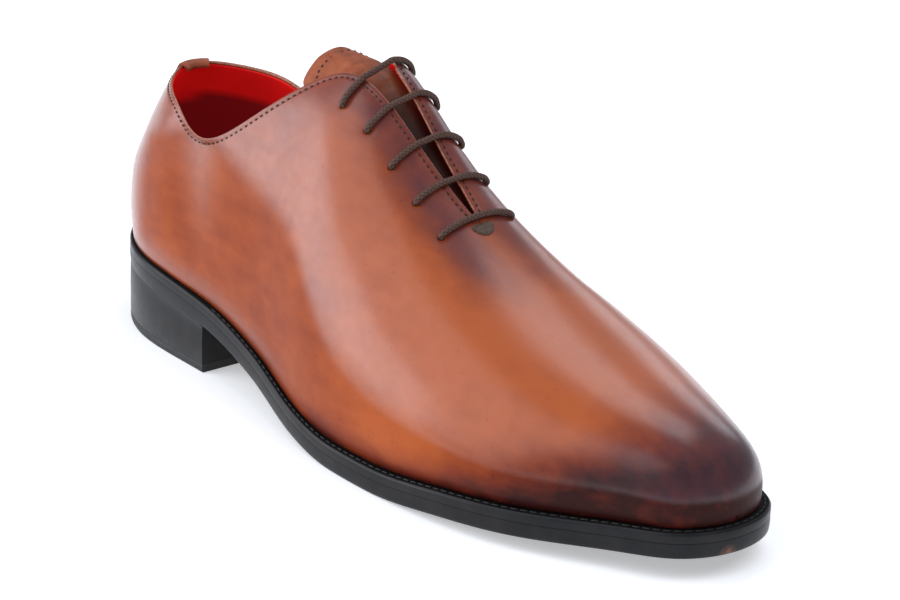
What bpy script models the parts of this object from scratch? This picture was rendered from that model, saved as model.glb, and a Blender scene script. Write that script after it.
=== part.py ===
"""Whole cut oxford, right shoe, standing empty on its sole.

The shoe points along +X with its heel at -X, its inner (medial) side is +Y and the floor is z = 0.
Sizes below are in millimetres, measured from the rearmost point of the sole (x), from the line
through the heel (y) and from the floor (z); they become metres when a mesh is made.
"""
import bmesh
import bpy
import numpy as np
from mathutils import Vector

MM = 0.001
LENGTH = 304.0

# Outline of the sole from above: part of the length, lateral y, medial y
OUTLINE = np.array([
    (0.00, 0.0, 0.0),
    (0.04, -20.0, 19.5),
    (0.12, -32.0, 30.5),
    (0.24, -34.5, 31.0),
    (0.38, -38.0, 23.0),
    (0.50, -46.0, 24.5),
    (0.62, -48.0, 40.0),
    (0.72, -45.5, 50.5),
    (0.82, -37.5, 48.5),
    (0.91, -22.5, 39.0),
    (0.97, -12.0, 30.0),
    (1.00, 9.2, 9.2),
])

# Underside of the sole: x, height; the forefoot is flat on the floor between two of the rows
SOLE_BOTTOM = np.array([
    (0.0, 23.0),
    (40.0, 21.5),
    (79.0, 17.5),
    (110.0, 10.5),
    (145.0, 2.5),
    (170.0, 0.0),
    (190.0, 0.0),
    (225.0, 3.0),
    (255.0, 5.0),
    (285.0, 7.0),
    (304.0, 8.5),
])

# Rim of welt that shows outside the upper: x, width
WELT_RIM = np.array([
    (0.0, 1.0),
    (40.0, 1.6),
    (79.0, 2.2),
    (145.0, 2.6),
    (200.0, 3.2),
    (304.0, 3.4),
])

# Top line of the last over the instep and toe: x, height
RIDGE_HEIGHT = np.array([
    (0.0, 108.0),
    (40.0, 112.5),
    (80.0, 118.0),
    (110.0, 121.0),
    (128.0, 119.5),
    (156.0, 100.0),
    (184.0, 80.0),
    (205.0, 68.5),
    (225.0, 60.0),
    (245.0, 53.0),
    (262.0, 48.0),
    (280.0, 45.0),
    (299.0, 44.0),
])

# Sections of the last: x, y of the highest point, fullness upward, bulge over the feather edge
SECTIONS = np.array([
    (0.0, 0.0, 3.0, 0.04),
    (60.0, 0.0, 3.2, 0.06),
    (118.0, 8.5, 2.8, 0.08),
    (150.0, 6.5, 2.8, 0.085),
    (184.0, 5.0, 2.9, 0.09),
    (245.0, 6.0, 2.6, 0.09),
    (304.0, 9.2, 3.4, 0.09),
])
FULLNESS_ACROSS = 2.1
TOE_ROUND_LENGTH = 46.0
TOE_ROUND_ALONG = 2.8
TOE_ROUND_UP = 2.9
BULGE_FADE = 60.0
BULGE_PEAK = 27 / 4

# Curve of the back seam: height above the welt, shift forward
BACK_CURVE = np.array([
    (0.0, -0.3),
    (10.0, -0.8),
    (25.0, 1.0),
    (42.0, 10.0),
    (70.0, 26.0),
    (100.0, 40.0),
])
BACK_CURVE_REACH = 110.0

# Top edge of the quarters, from the back seam to the facings: x, height
TOPLINE = np.array([
    (0.0, 95.3),
    (22.0, 93.5),
    (45.0, 90.0),
    (70.0, 84.5),
    (95.0, 100.5),
    (112.0, 114.0),
    (130.0, 122.5),
])
TOPLINE_END = 129.0
FACING_START = 95.0
FACING_BLEND_END = 142.3
CORNER_ROUND = 0.10

# Throat between the facings: x, half of the gap
THROAT_GAP = np.array([
    (120.0, 5.8),
    (140.0, 4.6),
    (160.0, 3.0),
    (176.0, 1.6),
    (184.0, 0.0),
])
THROAT_Y = 2.2
THROAT_END = 184.0

# Pieces of the sole
OUTSOLE_THICKNESS = 5.0
WELT_THICKNESS = 3.5
WELT_WIDTH = 13.0
GAP = 0.3
SOLE_EDGE_CHAMFER = 0.6
WELT_EDGE_CHAMFER = 0.8
HEEL_LENGTH = 79.0
HEEL_TUCK = 0.5
TOP_PIECE_THICKNESS = 3.0
TOP_PIECE_CHAMFER = 0.4
INSOLE_THICKNESS = 3.0
INSOLE_CLEARANCE = 0.7

# Upper, its lace holes and the tongue
UPPER_WALL = 1.8
EYELETS = 5
EYELET_FIRST_X = 127.7
EYELET_PITCH_X = 13.3
EYELET_HALF_SPACING = 14.6
EYELET_RADIUS = 1.7
PUNCH_LENGTH = 9.0
TONGUE_WALL = 1.8
# Tongue from its sewn end to its top: x, half width, depth below the upper's outer face
TONGUE = np.array([
    (196.0, 13.0, 2.6),
    (180.0, 15.0, 2.6),
    (150.0, 17.0, 3.3),
    (122.0, 17.5, 3.8),
    (112.0, 17.0, 3.4),
    (106.0, 16.0, 2.7),
    (103.0, 14.0, 2.3),
    (101.0, 10.5, 1.9),
    (100.0, 5.0, 1.6),
])

# Tab folded over the back of the collar, and the lace
TAB_REACH_X = 2.6
TAB_LEG = 6.0
TAB_WALL = 1.1
TAB_CREST = 0.6
TAB_CREST_SHARES = (0.2, 0.5, 0.8)
LACE_RADIUS = 1.2
LACE_LIFT = 0.5
LACE_END_Y = 13.2

# Fineness of the meshes
SOLE_STATIONS = 34
UPPER_STATIONS = 56
UPPER_ROWS = 13
STATION_CROWDING = 0.05
SECTION_SAMPLES = 241
LOOP_SAMPLES = 401
TOP_ANGLE = 0.6
ANGLE_STEP = 1e-3
LOOP_STEP = 1e-4
LACE_POINTS = 13
PUNCH_SIDES = 8
TONGUE_COLUMNS = 11
TAB_COLUMNS = 7
TOE_CROWD = 10.0
TOE_SPACING = 1.6
WELD = 0.02
TUBE_WELD = 0.01
SMOOTH_ANGLE = 0.6

# Colours read from the photo: red, green, blue, roughness
LOOKS = {
    "burnished_calf": (0.36, 0.11, 0.035, 0.25),
    "black_edge_leather": (0.012, 0.011, 0.012, 0.35),
    "rubber_top_piece": (0.018, 0.017, 0.018, 0.6),
    "sock_leather": (0.30, 0.02, 0.02, 0.55),
    "tongue_calf": (0.26, 0.075, 0.03, 0.35),
    "waxed_cotton": (0.09, 0.055, 0.035, 0.7),
}


def clear_scene():
    for item in list(bpy.data.objects):
        bpy.data.objects.remove(item, do_unlink=True)


def new_collection(name):
    collection = bpy.data.collections.new(name)
    bpy.context.scene.collection.children.link(collection)
    return collection


def make_material(name):
    red, green, blue, roughness = LOOKS[name]
    material = bpy.data.materials.new(name)
    material.use_nodes = True
    shader = material.node_tree.nodes["Principled BSDF"]
    shader.inputs["Base Color"].default_value = (red, green, blue, 1.0)
    shader.inputs["Roughness"].default_value = roughness
    shader.inputs["Metallic"].default_value = 0.0
    return material


def natural_spline(table):
    """Smooth curve through the rows (x, value) of a table, straight at its ends."""
    x, y = table[:, 0], table[:, 1]
    count = len(x)
    step = np.diff(x)
    matrix = np.eye(count)
    right = np.zeros(count)
    for i in range(1, count - 1):
        matrix[i, i - 1:i + 2] = (step[i - 1], 2 * (step[i - 1] + step[i]), step[i])
        right[i] = 6 * ((y[i + 1] - y[i]) / step[i] - (y[i] - y[i - 1]) / step[i - 1])
    bend = np.linalg.solve(matrix, right)

    def value(q):
        q = np.asarray(q, float)
        k = np.clip(np.searchsorted(x, q, side="right") - 1, 0, count - 2)
        a = (x[k + 1] - q) / step[k]
        b = (q - x[k]) / step[k]
        curve = ((a ** 3 - a) * bend[k] + (b ** 3 - b) * bend[k + 1]) * step[k] ** 2 / 6
        return a * y[k] + b * y[k + 1] + curve
    return value


def even_spline(table):
    """Curve through the rows (x, value) that never swings past them, so flat stretches stay flat."""
    x, y = table[:, 0], table[:, 1]
    step = np.diff(x)
    rise = np.diff(y) / step
    slope = np.concatenate(([rise[0]], np.zeros(len(x) - 2), [rise[-1]]))
    for i in range(1, len(x) - 1):
        if rise[i - 1] * rise[i] > 0:
            before = 2 * step[i] + step[i - 1]
            after = step[i] + 2 * step[i - 1]
            slope[i] = (before + after) / (before / rise[i - 1] + after / rise[i])

    def value(q):
        q = np.asarray(q, float)
        k = np.clip(np.searchsorted(x, q, side="right") - 1, 0, len(step) - 1)
        t = np.clip((q - x[k]) / step[k], 0, 1)
        start = (1 + 2 * t) * (1 - t) ** 2 * y[k] + t * (1 - t) ** 2 * step[k] * slope[k]
        end = t * t * (3 - 2 * t) * y[k + 1] + t * t * (t - 1) * step[k] * slope[k + 1]
        return start + end
    return value


def closed_spline(t, y, period):
    """Smooth closed curve through the values y at the loop parameters t."""
    count = len(t)
    step = np.diff(np.append(t, t[0] + period))
    rise = (np.roll(y, -1) - y) / step
    matrix = np.zeros((count, count))
    for i in range(count):
        matrix[i, i - 1] += step[i - 1]
        matrix[i, i] += 2 * (step[i - 1] + step[i])
        matrix[i, (i + 1) % count] += step[i]
    bend = np.linalg.solve(matrix, 6 * (rise - np.roll(rise, 1)))
    ends = np.append(t, t[0] + period)
    values = np.append(y, y[0])
    bends = np.append(bend, bend[0])

    def value(q):
        q = (np.asarray(q, float) - t[0]) % period + t[0]
        k = np.clip(np.searchsorted(ends, q, side="right") - 1, 0, count - 1)
        a = (ends[k + 1] - q) / step[k]
        b = (q - ends[k]) / step[k]
        curve = ((a ** 3 - a) * bends[k] + (b ** 3 - b) * bends[k + 1]) * step[k] ** 2 / 6
        return a * values[k] + b * values[k + 1] + curve
    return value


def station_x(s):
    """x of station s; stations crowd at heel and toe, so both ends come out round."""
    return LENGTH / 2 * (1 - np.cos(np.pi * np.asarray(s, float)))


def station_at(x):
    return np.arccos(np.clip(1 - 2 * np.asarray(x, float) / LENGTH, -1, 1)) / np.pi


def make_outline():
    """y of the sole's edge as a function of the loop parameter: 0 to 1 lateral, 1 to 2 medial."""
    s = station_at(OUTLINE[:, 0] * LENGTH)
    t = np.concatenate([s, 2 - s[1:-1][::-1]])
    y = np.concatenate([OUTLINE[:, 1], OUTLINE[1:-1, 2][::-1]])
    return closed_spline(t, y, 2.0)


OUTLINE_Y = make_outline()
BOTTOM_Z = even_spline(SOLE_BOTTOM)
RIM_WIDTH = even_spline(WELT_RIM)
RIDGE_Z = natural_spline(RIDGE_HEIGHT)
RIDGE_Y = even_spline(SECTIONS[:, (0, 1)])
FULLNESS_UP = even_spline(SECTIONS[:, (0, 2)])
BULGE = even_spline(SECTIONS[:, (0, 3)])
BACK_SHIFT = even_spline(BACK_CURVE)
TOPLINE_Z = natural_spline(TOPLINE)
GAP_HALF = even_spline(THROAT_GAP)

LOOP = np.linspace(0, 2, LOOP_SAMPLES)
MIDDLE_Y = (OUTLINE_Y(LOOP).min() + OUTLINE_Y(LOOP).max()) / 2
ORIGIN = np.array((LENGTH / 2, MIDDLE_Y, 0.0))


def edge_points(t, inset):
    """Points of the sole's outline at loop parameters t, moved inward by an inset."""
    t = np.asarray(t, float)
    ahead = np.stack([station_x(t + LOOP_STEP), OUTLINE_Y(t + LOOP_STEP)], axis=1)
    behind = np.stack([station_x(t - LOOP_STEP), OUTLINE_Y(t - LOOP_STEP)], axis=1)
    along = ahead - behind
    along /= np.linalg.norm(along, axis=1)[:, None]
    inward = np.stack([-along[:, 1], along[:, 0]], axis=1)
    points = np.stack([station_x(t), OUTLINE_Y(t)], axis=1)
    return points + inward * np.broadcast_to(inset, t.shape)[:, None]


def welt_top(x):
    return BOTTOM_Z(x) + OUTSOLE_THICKNESS + GAP + WELT_THICKNESS


def last_section(s, phi):
    """Points of the upper's outer face: station s, angle phi from 0 (medial) to pi (lateral)."""
    s = np.asarray(s, float)
    phi = np.asarray(phi, float)
    lateral = edge_points(s, RIM_WIDTH(station_x(s)))
    medial = edge_points(2 - s, RIM_WIDTH(station_x(s)))
    middle = (lateral + medial) / 2
    half = (medial - lateral) / 2
    x = middle[:, 0]
    foot = welt_top(x) + GAP
    toe_tip = LENGTH - RIM_WIDTH(LENGTH)
    toward_tip = np.clip((x - (toe_tip - TOE_ROUND_LENGTH)) / TOE_ROUND_LENGTH, 0, 1)
    closing = (1 - toward_tip ** TOE_ROUND_ALONG) ** (1 / TOE_ROUND_UP)
    height = (RIDGE_Z(x) - foot) * closing
    bulge = BULGE(x) * np.sqrt(np.clip((toe_tip - x) / BULGE_FADE, 0, 1))
    across = np.sign(np.cos(phi)) * np.abs(np.cos(phi)) ** (2 / FULLNESS_ACROSS)
    up = np.abs(np.sin(phi)) ** (2 / FULLNESS_UP(x)[:, None])
    swell = 1 + bulge[:, None] * BULGE_PEAK * up * (1 - up) ** 2
    ridge_y = RIDGE_Y(x)[:, None]
    px = middle[:, :1] + half[:, :1] * across * swell
    py = ridge_y + (middle[:, 1:] - ridge_y) * across ** 2 + half[:, 1:] * across * swell
    rise = height[:, None] * up
    fade = np.clip(1 - px / BACK_CURVE_REACH, 0, 1) ** 2
    px = px + BACK_SHIFT(rise) * fade
    return np.stack([px, py, foot[:, None] + rise], axis=2)


def last_points(s, phi):
    """Points of the outer face at matching lists of stations and angles."""
    return last_section(s, np.asarray(phi, float)[:, None])[:, 0]


def last_normals(s, phi):
    """Outward normals of the outer face at matching lists of stations and angles."""
    along = last_points(s + ANGLE_STEP, phi) - last_points(s - ANGLE_STEP, phi)
    around = last_points(s, phi + ANGLE_STEP) - last_points(s, phi - ANGLE_STEP)
    normal = np.cross(around, along)
    return normal / np.linalg.norm(normal, axis=1)[:, None]


def angle_at_y(s, y):
    """Angle phi on the top of each section at which it passes the given y."""
    phi = np.linspace(TOP_ANGLE, np.pi - TOP_ANGLE, SECTION_SAMPLES)
    rows = last_section(s, np.tile(phi, (len(s), 1)))
    return np.array([np.interp(-value, -row[:, 1], phi) for value, row in zip(y, rows)])


def opening_angles(s):
    """Angles phi of the upper's edge on the medial and lateral side of each station."""
    lateral = edge_points(s, RIM_WIDTH(station_x(s)))
    medial = edge_points(2 - s, RIM_WIDTH(station_x(s)))
    x = (lateral[:, 0] + medial[:, 0]) / 2
    foot = welt_top(x) + GAP
    share = np.clip((TOPLINE_Z(x) - foot) / (RIDGE_Z(x) - foot), 0, 1)
    collar = np.arcsin(share ** (FULLNESS_UP(x) / 2))
    collar = collar + np.clip(x - TOPLINE_END, 0, None) * CORNER_ROUND
    gap = np.where(x < THROAT_END, GAP_HALF(x), 0.0)
    centre_y = centre_line_y(x)
    facing_medial = angle_at_y(s, centre_y + gap)
    facing_lateral = np.pi - angle_at_y(s, centre_y - gap)
    angles = []
    for facing in (facing_medial, facing_lateral):
        facing = np.where(x > FACING_START, facing, np.pi / 2)
        mean = (collar + facing) / 2
        apart = np.sqrt(((collar - facing) / 2) ** 2 + (CORNER_ROUND / 2) ** 2)
        blend = np.where(x < FACING_BLEND_END, mean - apart, facing)
        angles.append(np.minimum(blend, facing))
    return angles[0], np.pi - angles[1]


def centre_line_y(x):
    """y of the line along which both sides of the vamp meet, from the throat to the toe tip."""
    part = np.clip((x - THROAT_END) / (LENGTH - THROAT_END), 0, 1)
    return THROAT_Y + (OUTLINE[-1, 1] - THROAT_Y) * part


def upper_stations():
    """Stations of the upper, closer together at heel and toe, one of them at the throat's foot."""
    even = np.linspace(0, 1, UPPER_STATIONS)
    s = even - STATION_CROWDING * np.sin(2 * np.pi * even)
    throat = station_at(THROAT_END)
    s[np.argmin(np.abs(s - throat))] = throat
    return s


def mesh_object(name, points, faces, material, collection, closed=True):
    """Object from points in millimetres; the faces of a closed one are turned outward."""
    mesh = bpy.data.meshes.new(name)
    places = (np.asarray(points, float) - ORIGIN) * MM
    mesh.from_pydata([tuple(place) for place in places], [], faces)
    mesh.materials.append(material)
    item = bpy.data.objects.new(name, mesh)
    collection.objects.link(item)
    work = bmesh.new()
    work.from_mesh(mesh)
    bmesh.ops.remove_doubles(work, verts=work.verts, dist=WELD * MM)
    if closed:
        bmesh.ops.recalc_face_normals(work, faces=work.faces)
    work.to_mesh(mesh)
    work.free()
    return item


def select_only(item):
    bpy.ops.object.select_all(action="DESELECT")
    item.select_set(True)
    bpy.context.view_layer.objects.active = item


def shade(item):
    mesh = item.data
    mesh.shade_smooth()
    mesh.set_sharp_from_angle(angle=SMOOTH_ANGLE)


def cap_faces(loop, reverse):
    """Strips between the two sides of a loop that starts at its rear point."""
    count = len(loop)
    faces = []
    for j in range((count - 1) // 2):
        corners = [loop[j], loop[j + 1], loop[-j - 1], loop[-j]]
        faces.append(list(dict.fromkeys(corners)))
    if count % 2 == 0:
        half = count // 2
        faces.append([loop[half - 1], loop[half], loop[half + 1]])
    return [face[::-1] for face in faces] if reverse else faces


def stack(name, rings, material, collection, closed=False):
    """Solid from rings of equal length; closed joins the last ring to the first, like a tyre."""
    count = len(rings[0])
    faces = []
    pairs = list(zip(range(len(rings)), range(1, len(rings))))
    if closed:
        pairs.append((len(rings) - 1, 0))
    for low, high in pairs:
        for j in range(count):
            k = (j + 1) % count
            faces.append([low * count + j, low * count + k, high * count + k, high * count + j])
    if not closed:
        top = (len(rings) - 1) * count
        faces += cap_faces(list(range(count)), True)
        faces += cap_faces(list(range(top, top + count)), False)
    item = mesh_object(name, np.concatenate(rings), faces, material, collection)
    shade(item)
    return item


def ring(t, inset, height):
    """Loop of points at an inset from the outline, at the height that a function of x gives."""
    edge = edge_points(t, inset)
    return np.column_stack([edge, height(edge[:, 0])])


def sole_loop():
    s = np.linspace(0, 1, SOLE_STATIONS)
    return np.concatenate([s, 2 - s[1:-1][::-1]])


def build_outsole(material, collection):
    t = sole_loop()
    side = OUTSOLE_THICKNESS - SOLE_EDGE_CHAMFER / 2
    rings = [
        ring(t, SOLE_EDGE_CHAMFER, BOTTOM_Z),
        ring(t, 0.0, lambda x: BOTTOM_Z(x) + SOLE_EDGE_CHAMFER),
        ring(t, 0.0, lambda x: BOTTOM_Z(x) + side),
        ring(t, SOLE_EDGE_CHAMFER / 2, lambda x: BOTTOM_Z(x) + OUTSOLE_THICKNESS),
    ]
    return stack("outsole", rings, material, collection)


def build_welt(material, collection):
    t = sole_loop()
    low = OUTSOLE_THICKNESS + GAP
    rings = [
        ring(t, WELT_WIDTH, lambda x: BOTTOM_Z(x) + low),
        ring(t, 0.0, lambda x: BOTTOM_Z(x) + low),
        ring(t, 0.0, lambda x: welt_top(x) - WELT_EDGE_CHAMFER),
        ring(t, WELT_EDGE_CHAMFER, welt_top),
        ring(t, WELT_WIDTH, welt_top),
    ]
    return stack("welt", rings, material, collection, closed=True)


def heel_loop():
    s = np.linspace(0, station_at(HEEL_LENGTH), SOLE_STATIONS // 2)
    return np.concatenate([s, 2 - s[1:][::-1]])


def build_heel(material, collection):
    t = heel_loop()
    base = TOP_PIECE_THICKNESS + GAP
    rings = [
        ring(t, HEEL_TUCK, lambda x: np.full_like(x, base)),
        ring(t, HEEL_TUCK, lambda x: BOTTOM_Z(x) - GAP),
    ]
    return stack("heel", rings, material, collection)


def build_top_piece(material, collection):
    t = heel_loop()
    rings = [
        ring(t, HEEL_TUCK + TOP_PIECE_CHAMFER, lambda x: np.zeros_like(x)),
        ring(t, HEEL_TUCK, lambda x: np.full_like(x, TOP_PIECE_CHAMFER)),
        ring(t, HEEL_TUCK, lambda x: np.full_like(x, TOP_PIECE_THICKNESS)),
    ]
    return stack("top_piece", rings, material, collection)


def build_insole(material, collection):
    t = sole_loop()
    inset = RIM_WIDTH(station_x(t)) + UPPER_WALL + INSOLE_CLEARANCE
    rings = [
        ring(t, inset, lambda x: welt_top(x) + GAP),
        ring(t, inset, lambda x: welt_top(x) + GAP + INSOLE_THICKNESS),
    ]
    return stack("insole", rings, material, collection)


def upper_rows(s, foot_angle, edge_angle):
    """Points from the feather edge to the opening, evenly spaced along each section."""
    share = np.linspace(0, 1, SECTION_SAMPLES)
    phi = foot_angle + (edge_angle[:, None] - foot_angle) * share
    fine = last_section(s, phi)
    rows = []
    for section in fine:
        length = np.concatenate([[0], np.cumsum(np.linalg.norm(np.diff(section, axis=0), axis=1))])
        even = np.linspace(0, length[-1], UPPER_ROWS + 1)
        rows.append(np.column_stack([np.interp(even, length, section[:, k]) for k in range(3)]))
    return np.array(rows)


def grid_faces(columns, rows, start, flip):
    faces = []
    for i in range(columns - 1):
        for j in range(rows - 1):
            corner = start + i * rows + j
            face = [corner, corner + rows, corner + rows + 1, corner + 1]
            faces.append(face[::-1] if flip else face)
    return faces


def add_wall(item, thickness, side):
    """Give a sheet its wall, below its faces (side -1) or above them (side 1)."""
    wall = item.modifiers.new("wall", "SOLIDIFY")
    wall.thickness = thickness * MM
    wall.offset = side
    wall.use_rim = True
    select_only(item)
    bpy.ops.object.modifier_apply(modifier=wall.name)


def punch_eyelets(item, cutters):
    """Cut the two rows of lace holes with one joined cutter."""
    points = []
    normals = []
    for side in (-1, 1):
        for index in range(EYELETS):
            s = np.array([station_at(EYELET_FIRST_X + EYELET_PITCH_X * index)])
            phi = angle_at_y(s, [THROAT_Y + side * EYELET_HALF_SPACING])
            points.append(last_points(s, phi)[0])
            normals.append(last_normals(s, phi)[0])
    work = bmesh.new()
    for point, normal in zip(points, normals):
        made = bmesh.ops.create_cone(
            work, cap_ends=True, segments=PUNCH_SIDES, radius1=EYELET_RADIUS * MM,
            radius2=EYELET_RADIUS * MM, depth=PUNCH_LENGTH * MM)
        turn = Vector((0, 0, 1)).rotation_difference(Vector(normal)).to_matrix()
        bmesh.ops.rotate(work, verts=made["verts"], cent=(0, 0, 0), matrix=turn)
        bmesh.ops.translate(work, verts=made["verts"], vec=Vector((point - ORIGIN) * MM))
    mesh = bpy.data.meshes.new("eyelet_punches")
    work.to_mesh(mesh)
    work.free()
    punches = bpy.data.objects.new("eyelet_punches", mesh)
    cutters.objects.link(punches)
    punches.hide_render = True
    punches.display_type = "WIRE"
    cut = item.modifiers.new("eyelets", "BOOLEAN")
    cut.operation = "DIFFERENCE"
    cut.solver = "EXACT"
    cut.object = punches
    select_only(item)
    bpy.ops.object.modifier_apply(modifier=cut.name)


def thin_toe(item):
    """Merge the points that crowd at the toe tip, where the wall would cross itself."""
    tip = (np.array([LENGTH - RIM_WIDTH(LENGTH), OUTLINE[-1, 1], welt_top(LENGTH)]) - ORIGIN) * MM
    work = bmesh.new()
    work.from_mesh(item.data)
    crowded = [vert for vert in work.verts if (vert.co - Vector(tip)).length < TOE_CROWD * MM]
    bmesh.ops.remove_doubles(work, verts=crowded, dist=TOE_SPACING * MM)
    work.to_mesh(item.data)
    work.free()


def build_upper(material, collection, cutters):
    s = upper_stations()
    medial_edge, lateral_edge = opening_angles(s)
    lateral = upper_rows(s, np.pi, lateral_edge)
    medial = upper_rows(s, 0.0, medial_edge)
    points = np.concatenate([lateral.reshape(-1, 3), medial.reshape(-1, 3)])
    rows = UPPER_ROWS + 1
    faces = grid_faces(len(s), rows, 0, False)
    faces += grid_faces(len(s), rows, len(s) * rows, True)
    item = mesh_object("upper", points, faces, material, collection, closed=False)
    thin_toe(item)
    add_wall(item, UPPER_WALL, -1.0)
    punch_eyelets(item, cutters)
    shade(item)
    return item


def build_tongue(material, collection):
    """Sheet under the throat that follows the inside of the upper and ends in a round top."""
    x = TONGUE[:, 0]
    fine_x = np.interp(np.linspace(0, len(x) - 1, 3 * len(x) - 2), np.arange(len(x)), x)
    half = natural_spline(TONGUE[::-1, (0, 1)])(fine_x)
    depth = even_spline(TONGUE[::-1, (0, 2)])(fine_x)[:, None]
    s = station_at(fine_x)
    columns = np.linspace(-1, 1, TONGUE_COLUMNS)
    points = []
    for column in columns:
        phi = angle_at_y(s, THROAT_Y + column * half)
        points.append(last_points(s, phi) - last_normals(s, phi) * depth)
    grid = np.array(points)
    faces = grid_faces(len(columns), len(s), 0, False)
    item = mesh_object("tongue", grid.reshape(-1, 3), faces, material, collection, closed=False)
    add_wall(item, TONGUE_WALL, -1.0)
    shade(item)
    return item


def build_heel_tab(material, collection):
    """Strip folded over the back of the collar, its two legs clear of the upper's faces."""
    reach = station_at(TAB_REACH_X)
    s = np.abs(np.linspace(-reach, reach, TAB_COLUMNS))
    lateral = np.arange(TAB_COLUMNS) <= TAB_COLUMNS // 2
    medial_edge, lateral_edge = opening_angles(s)
    edge = np.where(lateral, lateral_edge, medial_edge)
    downward = np.where(lateral, 1.0, -1.0)
    step = last_points(s, edge + ANGLE_STEP) - last_points(s, edge - ANGLE_STEP)
    speed = np.linalg.norm(step, axis=1) / (2 * ANGLE_STEP)
    upward = -step / np.linalg.norm(step, axis=1)[:, None] * downward[:, None]
    across = last_normals(s, edge)
    top = last_points(s, edge)
    columns = []
    for depth, lift in ((TAB_LEG, GAP), (TAB_LEG / 2, GAP), (GAP, GAP)):
        phi = edge + downward * depth / speed
        columns.append(last_points(s, phi) + last_normals(s, phi) * lift)
    for share in TAB_CREST_SHARES:
        columns.append(top - across * UPPER_WALL * share + upward * TAB_CREST)
    inside = -UPPER_WALL - 2 * GAP
    for depth, lift in ((GAP, inside), (TAB_LEG / 2, inside), (TAB_LEG, inside)):
        phi = edge + downward * depth / speed
        columns.append(last_points(s, phi) + last_normals(s, phi) * lift)
    grid = np.array(columns)
    faces = grid_faces(len(columns), TAB_COLUMNS, 0, False)
    item = mesh_object("heel_tab", grid.reshape(-1, 3), faces, material, collection, closed=False)
    add_wall(item, TAB_WALL, 1.0)
    shade(item)
    return item


def build_lace_bars(material, collection):
    """Five bars over the throat, straight over the gap, each ending above two eyelet holes."""
    for index in range(EYELETS):
        x = EYELET_FIRST_X + EYELET_PITCH_X * index
        aside = np.linspace(-LACE_END_Y, LACE_END_Y, LACE_POINTS)
        s = np.full(LACE_POINTS, station_at(x))
        phi = angle_at_y(s, THROAT_Y + aside)
        path = last_points(s, phi) + last_normals(s, phi) * (LACE_RADIUS + LACE_LIFT)
        resting = np.abs(aside) > GAP_HALF(x)
        for axis in range(3):
            path[:, axis] = np.interp(aside, aside[resting], path[resting, axis])
        add_tube(f"lace_bar_{index + 1}", path, LACE_RADIUS, material, collection)


def add_tube(name, path, radius, material, collection):
    """Closed tube along a path of points in millimetres."""
    curve = bpy.data.curves.new(name, "CURVE")
    curve.dimensions = "3D"
    curve.bevel_depth = radius * MM
    curve.bevel_resolution = 2
    curve.use_fill_caps = True
    spline = curve.splines.new("POLY")
    spline.points.add(len(path) - 1)
    for point, place in zip(spline.points, (path - ORIGIN) * MM):
        point.co = (*place, 1.0)
    holder = bpy.data.objects.new(name + "_curve", curve)
    collection.objects.link(holder)
    bpy.context.view_layer.update()
    graph = bpy.context.evaluated_depsgraph_get()
    mesh = bpy.data.meshes.new_from_object(holder.evaluated_get(graph))
    mesh.name = name
    work = bmesh.new()
    work.from_mesh(mesh)
    bmesh.ops.remove_doubles(work, verts=work.verts, dist=TUBE_WELD * MM)
    bmesh.ops.recalc_face_normals(work, faces=work.faces)
    work.to_mesh(mesh)
    work.free()
    mesh.materials.clear()
    mesh.materials.append(material)
    item = bpy.data.objects.new(name, mesh)
    item.matrix_world = holder.matrix_world.copy()
    collection.objects.link(item)
    bpy.data.objects.remove(holder, do_unlink=True)
    shade(item)
    return item


def main():
    clear_scene()
    shoe = new_collection("oxford_shoe")
    cutters = new_collection("cutters")
    looks = {name: make_material(name) for name in LOOKS}
    build_outsole(looks["black_edge_leather"], shoe)
    build_welt(looks["black_edge_leather"], shoe)
    build_heel(looks["black_edge_leather"], shoe)
    build_top_piece(looks["rubber_top_piece"], shoe)
    build_insole(looks["sock_leather"], shoe)
    build_upper(looks["burnished_calf"], shoe, cutters)
    build_tongue(looks["tongue_calf"], shoe)
    build_heel_tab(looks["tongue_calf"], shoe)
    build_lace_bars(looks["waxed_cotton"], shoe)


main()
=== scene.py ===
"""Looks of a whole cut oxford: burnished calf over a red lining, waxed lace, blacked sole edges.

The shoe points along +X, its inner (medial) side is +Y and the floor is z = 0. Sizes are in
millimetres from the rearmost point of the sole (x), the line through the heel (y) and the floor
(z), as in the shoe's own drawing; they become metres when a mesh is made.
"""

import math

import bmesh
import bpy
import numpy as np
from mathutils import Matrix, Vector


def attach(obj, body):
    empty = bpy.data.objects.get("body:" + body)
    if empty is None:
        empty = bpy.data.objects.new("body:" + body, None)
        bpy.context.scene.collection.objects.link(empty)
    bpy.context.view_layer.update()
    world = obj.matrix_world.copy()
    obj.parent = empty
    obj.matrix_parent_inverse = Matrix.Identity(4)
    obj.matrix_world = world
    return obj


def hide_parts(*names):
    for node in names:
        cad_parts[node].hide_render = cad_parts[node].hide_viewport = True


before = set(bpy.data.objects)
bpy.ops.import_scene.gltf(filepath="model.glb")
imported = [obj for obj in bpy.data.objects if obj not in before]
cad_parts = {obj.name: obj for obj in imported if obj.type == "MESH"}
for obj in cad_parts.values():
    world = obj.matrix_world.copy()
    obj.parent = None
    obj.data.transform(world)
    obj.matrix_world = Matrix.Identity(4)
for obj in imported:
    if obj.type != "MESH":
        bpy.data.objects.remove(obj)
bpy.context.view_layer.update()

MM = 0.001
LENGTH = 304.0

# Outline of the sole from above: part of the length, lateral y, medial y
OUTLINE = np.array([
    (0.00, 0.0, 0.0),
    (0.04, -20.0, 19.5),
    (0.12, -32.0, 30.5),
    (0.24, -34.5, 31.0),
    (0.38, -38.0, 23.0),
    (0.50, -46.0, 24.5),
    (0.62, -48.0, 40.0),
    (0.72, -45.5, 50.5),
    (0.82, -37.5, 48.5),
    (0.91, -22.5, 39.0),
    (0.97, -12.0, 30.0),
    (1.00, 9.2, 9.2),
])

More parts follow.
